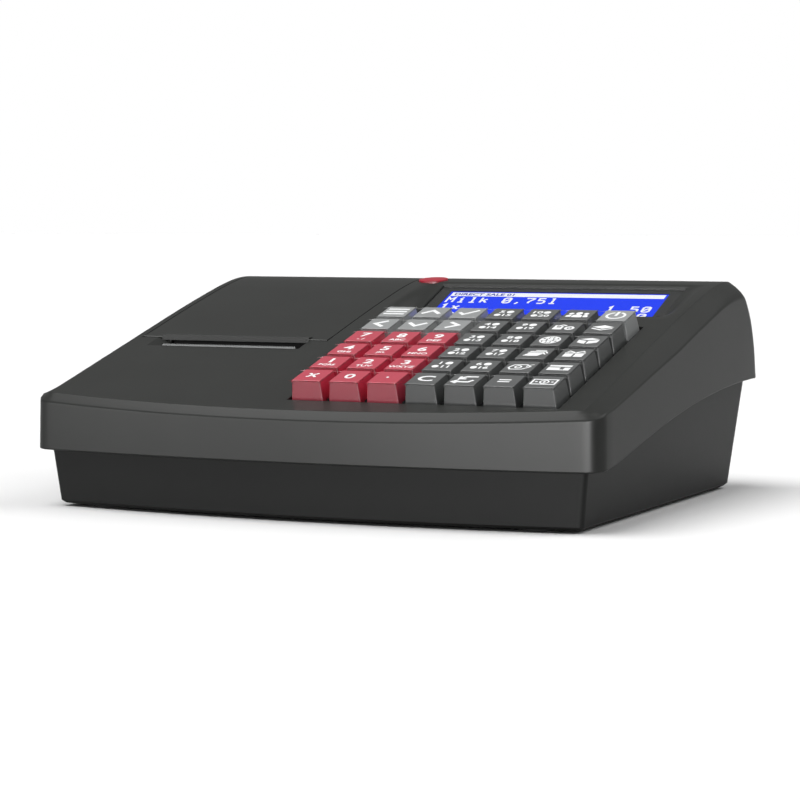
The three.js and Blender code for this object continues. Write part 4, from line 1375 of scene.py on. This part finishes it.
def panel():
    """The lit panel, shown through the window."""
    piece = slab("display_screen", panel_width, panel_length, panel_thickness, panel_round, 2, panel_round)
    piece.data.transform(on_window(*panel_shift, -panel_below))
    return dress(piece, "case", lcd_blue, "display_panel", "display_module")


# Figures on the display, drawn on a grid that is 4 units wide and 8 high
glyph_rows = 8
glyphs = {
    "M": [[(0.2, 0), (0.2, 8), (2, 4.6), (3.8, 8), (3.8, 0)]],
    "i": [[(0.8, 5.6), (2, 5.6), (2, 0)], [(0.6, 0), (3.4, 0)], [(2, 8.2), (2, 7.2)]],
    "k": [[(0.4, 8), (0.4, 0)], [(3.5, 5.6), (0.4, 2.6)], [(1.5, 3.6), (3.7, 0)]],
    "t": [[(1.4, 7.4), (1.4, 1.2), (2.2, 0), (3.4, 0)], [(0.2, 5.4), (3.2, 5.4)]],
    "0": [
        [(1, 0), (0.2, 1.2), (0.2, 6.8), (1, 8), (3, 8), (3.8, 6.8), (3.8, 1.2), (3, 0), (1, 0)],
        [(0.6, 2), (3.4, 6)],
    ],
    ",": [[(2, 1.4), (2, 0.2), (1.2, -1.4)]],
    ".": [[(2, 1.2), (2, -0.2)]],
    "7": [[(0.2, 7), (0.2, 8), (3.8, 8), (3.8, 6.8), (1.8, 2.6), (1.8, 0)]],
    "5": [[(3.6, 8), (0.4, 8), (0.4, 4.6), (2.9, 4.6), (3.8, 3.6), (3.8, 1.2), (2.9, 0), (0.3, 0)]],
    "l": [[(0.8, 8), (2, 8), (2, 0)], [(0.6, 0), (3.6, 0)]],
    "1": [[(0.7, 6.4), (2, 8), (2, 0)], [(0.6, 0), (3.6, 0)]],
    "x": [[(0.3, 5.4), (3.7, 0)], [(3.7, 5.4), (0.3, 0)]],
    "T": [[(0.1, 8), (3.9, 8)], [(2, 8), (2, 0)]],
    "o": [[
        (1.1, 0), (0.2, 1.1), (0.2, 4.6), (1.1, 5.6), (2.9, 5.6), (3.8, 4.6), (3.8, 1.1), (2.9, 0), (1.1, 0),
    ]],
    "a": [
        [(0.5, 5.6), (2.8, 5.6), (3.6, 4.6), (3.6, 0)],
        [(3.6, 3.2), (1.2, 3.2), (0.3, 2.2), (0.3, 1), (1.2, 0), (3.6, 0)],
    ],
}
figure_pitch = 6.6
figure_height = 6.3
figure_stroke = 1.25
figure_stretch = 1.33
figure_gap = 0.5
line_pitch = 9.1
line_gap = 1.9
screen_margin = 2.2
status_bar = 4.9
status_top = 1.2
status_left = 2
status_right = 1.2
heading_height = 3
heading_stretch = 1.25
heading_margin = 4 * MM
heading_lift = 0.05 * MM


def display_figures():
    """The lines shown on the lit panel: white figures, and a white bar along the top with blue ones."""
    half_x, half_y = panel_width / 2 / MM, panel_length / 2 / MM
    bar_middle = half_y - status_top - status_bar / 2
    bar_low, bar_high = bar_middle - status_bar / 2, bar_middle + status_bar / 2
    shapes = bar(-half_x + status_left, bar_low, half_x - status_right, bar_high)

    def write(text, left, base):
        unit = figure_height / glyph_rows
        for i, sign in enumerate(text):
            for line in glyphs.get(sign, []):
                start = left + i * figure_pitch
                corners = [(start + x * unit * figure_stretch, base + y * unit) for x, y in line]
                looped = corners[0] == corners[-1]
                shapes.extend(ribbon(corners[:-1] if looped else corners, figure_stroke, looped))

    line_top = half_y - status_top - status_bar - line_gap
    for i, (left_text, right_text) in enumerate((("Milk 0,75l", ""), ("1x", "1.50"), ("Total", "1.50"))):
        base = line_top - figure_height - i * line_pitch
        write(left_text, -half_x + screen_margin, base)
        write(right_text, half_x - screen_margin - len(right_text) * figure_pitch + figure_gap, base)
    piece = ink_layer("display_figures", shapes)
    piece.data.transform(on_window(*panel_shift, -panel_below))
    dress(piece, "case", lcd_white)

    heading = lettering("DIRECT SALE 01", 0, bar_middle, heading_height, heading_stretch)
    width = max(vertex.co.x for vertex in heading.data.vertices)
    heading.name = "display_heading"
    left = panel_shift.x - half_x * MM + width + heading_margin
    heading.data.transform(on_window(left, panel_shift.y, -panel_below + heading_lift))
    dress(heading, "case", lcd_ink)


def lens():
    """The clear window with the black border printed round its underside."""
    size_x, size_y = window_right - window_left - 2 * lens_gap, lens_depth
    piece = slab("display_lens", size_x, size_y, lens_thickness, lens_corner, 4, lens_edge)
    piece.data.transform(window)
    dress(piece, "case", lens_clear, "display_lens", "display_window")

    def inner(vertex):
        return abs(vertex.co.x) < size_x / 2 - MM and abs(vertex.co.y) < size_y / 2 - MM

    low, high = (-size_x / 2, -size_y / 2, 0), (size_x / 2, size_y / 2, border_thickness)
    border = block("display_border", low, high)
    pick(border, "FACE", lambda face: abs(face.normal.z) > 0.9)
    bpy.ops.mesh.inset(thickness=border_margin, depth=0)
    pick(border, "FACE", lambda face: abs(face.normal.z) > 0.9 and all(map(inner, face.verts)))
    bpy.ops.mesh.bridge_edge_loops()
    for vertex in bmesh.from_edit_mesh(border.data).verts:
        if inner(vertex):
            vertex.co.x = math.copysign(panel_width / 2 - border_overlap, vertex.co.x)
            vertex.co.y = panel_shift.y + math.copysign(panel_length / 2 - border_overlap, vertex.co.y)
    bmesh.update_edit_mesh(border.data)
    turn_faces_out()
    end_edit(border)
    border.data.transform(on_window(0, 0, -lens_thickness - border_gap))
    dress(border, "case", border_black, "display_lens")


# Button, tear bar, feet, paper and platen

button_stem_length = 13 * MM
button_stem_radius = 3 * MM
button_collar = 2.6 * MM
button_collar_round = 0.4 * MM
button_rim = 0.45 * MM
button_rim_round = 0.13 * MM
dome_start = 0.65 * MM
dome_crown = 0.2 * MM
dome_share = 0.96
dome_rings = 8


def release_button():
    """The domed red button with its rim and the barrel under it."""
    rings = [k / dome_rings for k in range(dome_rings, 0, -1)]
    dome = [(dome_start + dome_crown * (1 - ring ** 2), button_radius * dome_share * ring) for ring in rings]
    stations = [
        (-button_stem_length, button_stem_radius), (-button_collar, button_stem_radius),
        (-button_collar, button_radius - button_collar_round),
        (-button_collar + button_collar_round, button_radius),
        (button_rim, button_radius), (button_rim + button_rim_round, button_radius * 0.99),
    ]
    piece = turned("release_dome", stations + dome, 64, button_place)
    return dress(piece, "button", red_gloss, "button", "release_button")


tear_bar_drop = 0.02 * MM
tear_bar_start = 3.4 * MM
tooth_pitch = 0.97 * MM
tooth_depth = 0.8 * MM
tooth_edge = 0.25 * MM
tooth_slope = 1.2 * MM


def tear_bar():
    """A steel strip with a row of fine teeth along its upper edge."""
    low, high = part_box("tear_bar")
    high.z -= tear_bar_drop
    low.x += tear_bar_start
    count = 2 * round((high.x - low.x) / tooth_pitch)

    def place(i, j):
        notch = tooth_depth if j == 1 and i % 2 == 0 else 0
        return mix(low.x, high.x, i / count), low.y, (high.z if j == 1 else low.z) - notch

    piece = grid("tear_strip", count, 1, place)
    bpy.ops.mesh.select_all(action="SELECT")
    extrude((0, high.y - low.y, 0))
    turn_faces_out()
    rear = high.y - 0.01 * MM
    pick(piece, "VERT", lambda vertex: vertex.co.z > high.z - tooth_slope and vertex.co.y > rear)
    bpy.ops.transform.translate(value=(0, low.y - high.y + tooth_edge, 0))
    end_edit(piece, 20)
    return dress(piece, "case", steel, "steel", "tear_bar")


# A foot from its hollow middle to its side, as (height, share of its radius)
foot_profile = [(0.5 * MM, 0.55), (0, 0.62), (0, 0.88), (0.35 * MM, 0.97), (0.7 * MM, 1)]
foot_top_gap = 0.02 * MM


def feet():
    """The four rubber feet, hollow in the middle and rounded round the rim."""
    for node in ("foot_front_left", "foot_front_right", "foot_rear_left", "foot_rear_right"):
        low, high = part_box(node)
        radius = (high.x - low.x) / 2
        place = Matrix.Translation(((low.x + high.x) / 2, (low.y + high.y) / 2, 0))
        stations = [(height, radius * share) for height, share in foot_profile]
        stations.append((high.z - foot_top_gap, radius))
        piece = turned(node.replace("foot", "pad"), stations, 48, place)
        dress(piece, "case", rubber, "rubber", node)


paper_core = 6.5 * MM
paper_layers = 12
layer_step = 0.25 * MM
core_inset = 2 * MM


def paper():
    """The roll: layered ends round a core."""
    low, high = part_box("paper_roll")
    radius, half = (high.z - low.z) / 2, (high.x - low.x) / 2
    ends = [
        (half - (layer_step if k % 2 else 0), paper_core + (radius - paper_core) * k / paper_layers)
        for k in range(paper_layers + 1)
    ]
    stations = [(-half + core_inset, paper_core)] + [(-height, reach) for height, reach in ends]
    stations += ends[::-1] + [(half - core_inset, paper_core)]
    piece = turned("receipt_roll", stations, 96, turned_on_x((low + high) / 2))
    return dress(piece, "paper", paper_white, "paper", "paper_roll")


platen_end_round = 0.4 * MM
shaft_end_round = 0.3 * MM


def platen():
    """The rubber roller on its steel shaft, both symmetrical about the middle."""
    place = turned_on_x((platen_low + platen_high) / 2)

    def both_ends(stations):
        return [(-height, radius) for height, radius in stations] + stations[::-1]

    rubber_ends = [
        (platen_half, platen_shaft + shaft_end_round), (platen_half, platen_radius - platen_end_round),
        (platen_half - platen_end_round, platen_radius),
    ]
    roller = turned("platen_rubber", both_ends(rubber_ends), 64, place)
    dress(roller, "platen", rubber, "rubber", "platen_roller")
    half = platen_half + platen_shaft_overhang
    shaft_ends = [(half, platen_shaft - shaft_end_round), (half - shaft_end_round, platen_shaft)]
    axle = turned("platen_axle", both_ends(shaft_ends), 32, place)
    dress(axle, "platen", steel, "steel")


# Stage

floor_size = 30
floor_shade = (0.42, 0.42, 0.42, 1)
floor_seen = (0.82, 0.82, 0.82, 1)
floor_in_gloss = 0.25
room_light = 0.2
room_in_gloss = (0.5, 0.05)
room_gloss_height = 0.16
camera_place = (0.5559, -1.2069, 0.1472)
camera_dip = 4.158
camera_turn = 24.826


def seen(tree, by_gloss):
    """1 for rays that see a surface directly or through a clear piece, and a share of it for reflections."""
    rays = add_node(tree, "LightPath").outputs
    straight = {0: rays["Is Camera Ray"], 1: rays["Is Transmission Ray"]}
    direct = add_node(tree, "Math", straight, operation="MAXIMUM").outputs[0]
    gloss = {0: rays["Is Glossy Ray"], 1: by_gloss}
    reflected = add_node(tree, "Math", gloss, operation="MULTIPLY").outputs[0]
    return add_node(tree, "Math", {0: direct, 1: reflected}, operation="MAXIMUM").outputs[0]


def stage():
    """The floor and the room: white where they are seen, dimmer as light on the object."""
    deselect()
    bpy.ops.mesh.primitive_plane_add(size=floor_size, location=(0, 0, 0))
    floor = bpy.context.object
    floor.name = "floor"
    material, tree, shader = finish("white floor")
    sockets = {"Factor": seen(tree, floor_in_gloss), "A": floor_shade, "B": floor_seen}
    colour = add_node(tree, "Mix", sockets, data_type="RGBA").outputs["Result"]
    wire(tree, shader, {"Base Color": colour, "Roughness": 1, "Specular IOR Level": 0})
    floor.data.materials.append(material)

    world = bpy.data.worlds.new("studio")
    bpy.context.scene.world = world
    world.use_nodes = True
    tree = world.node_tree
    place = add_node(tree, "TexCoord").outputs["Generated"]
    height = add_node(tree, "SeparateXYZ", {"Vector": place}).outputs["Z"]
    in_gloss = add_node(tree, "MapRange", {
        "Value": height, "From Min": 0, "From Max": room_gloss_height,
        "To Min": room_in_gloss[0], "To Max": room_in_gloss[1],
    }, interpolation_type="SMOOTHSTEP").outputs["Result"]
    level = add_node(tree, "Mix", {"Factor": seen(tree, in_gloss), "A": room_light, "B": 1})
    wire(tree, tree.nodes["Background"], {"Color": (1, 1, 1, 1), "Strength": level.outputs["Result"]})


def lamp(name, place, aim, size, power, sheen_only=False):
    """A soft box; one that gives sheen only is seen in reflections and lights nothing else."""
    deselect()
    bpy.ops.object.light_add(type="AREA", location=place)
    light = bpy.context.object
    light.name = name
    light.data.shape = "RECTANGLE"
    light.data.size, light.data.size_y = size
    light.data.energy = power
    direction = Vector(aim) - Vector(place)
    light.rotation_euler = direction.to_track_quat("-Z", "Y").to_euler()
    light.visible_diffuse = not sheen_only
    light.visible_camera = False


def soft_sun(name, azimuth, elevation, strength, angle):
    """A broad even light; azimuth 0 is in front of the register, 90 on its right."""
    deselect()
    bpy.ops.object.light_add(type="SUN", location=(0, 0, 1))
    light = bpy.context.object
    light.name = name
    light.data.energy = strength
    light.data.angle = math.radians(angle)
    turn, rise = math.radians(azimuth), math.radians(elevation)
    source = Vector((math.sin(turn) * math.cos(rise), -math.cos(turn) * math.cos(rise), math.sin(rise)))
    light.rotation_euler = (-source).to_track_quat("-Z", "Y").to_euler()


def camera():
    """The camera at the photograph's viewing angle."""
    data = bpy.data.cameras.new("camera")
    data.lens = 115.15
    data.sensor_width = 36
    data.clip_start = 0.1
    data.clip_end = 50
    eye = bpy.data.objects.new("camera", data)
    bpy.context.scene.collection.objects.link(eye)
    eye.location = camera_place
    eye.rotation_euler = (math.radians(90 - camera_dip), 0, math.radians(camera_turn))
    bpy.context.scene.camera = eye


for make in (
    camera, upper_case, printer_lid, lower_case, keys, key_legends, window_slope, panel, display_figures,
    lens, release_button, tear_bar, feet, paper, platen,
):
    make()
for node, material in (
    ("lid_hinge_pin", steel), ("print_head", inner_black), ("key_frame", inner_black),
    ("circuit_board", board_green), ("power_inlet", inner_black),
):
    data = frame["nodes"][node].data
    data.materials.clear()
    data.materials.append(material)
stage()
# Suns: azimuth, elevation, strength and angle. Soft boxes: place, aim, width and height, and power.
soft_sun("overhead light", -46, 67, 2.8, 50)
soft_sun("side light", 118, 45, 1.2, 50)
lamp("front light", (0.2, -2.0, 0.27), (0, -0.1, 0.06), (1.3, 0.5), 4)
lamp("fascia sheen", (-0.2, -2.0, 0.16), (0, -0.1, 0.06), (0.9, 0.3), 18, sheen_only=True)
lamp("right sheen", (0.7, -2.0, 0.25), (0.1, -0.1, 0.06), (0.8, 0.4), 30, sheen_only=True)
lamp("corner sheen", (1.23, -1.7, 0.25), (0.15, -0.1, 0.06), (0.3, 0.5), 30, sheen_only=True)
lamp("left sheen", (-1.3, -1.6, 0.25), (0, -0.1, 0.06), (1.2, 0.4), 16, sheen_only=True)
bpy.context.scene.view_settings.view_transform = "Standard"
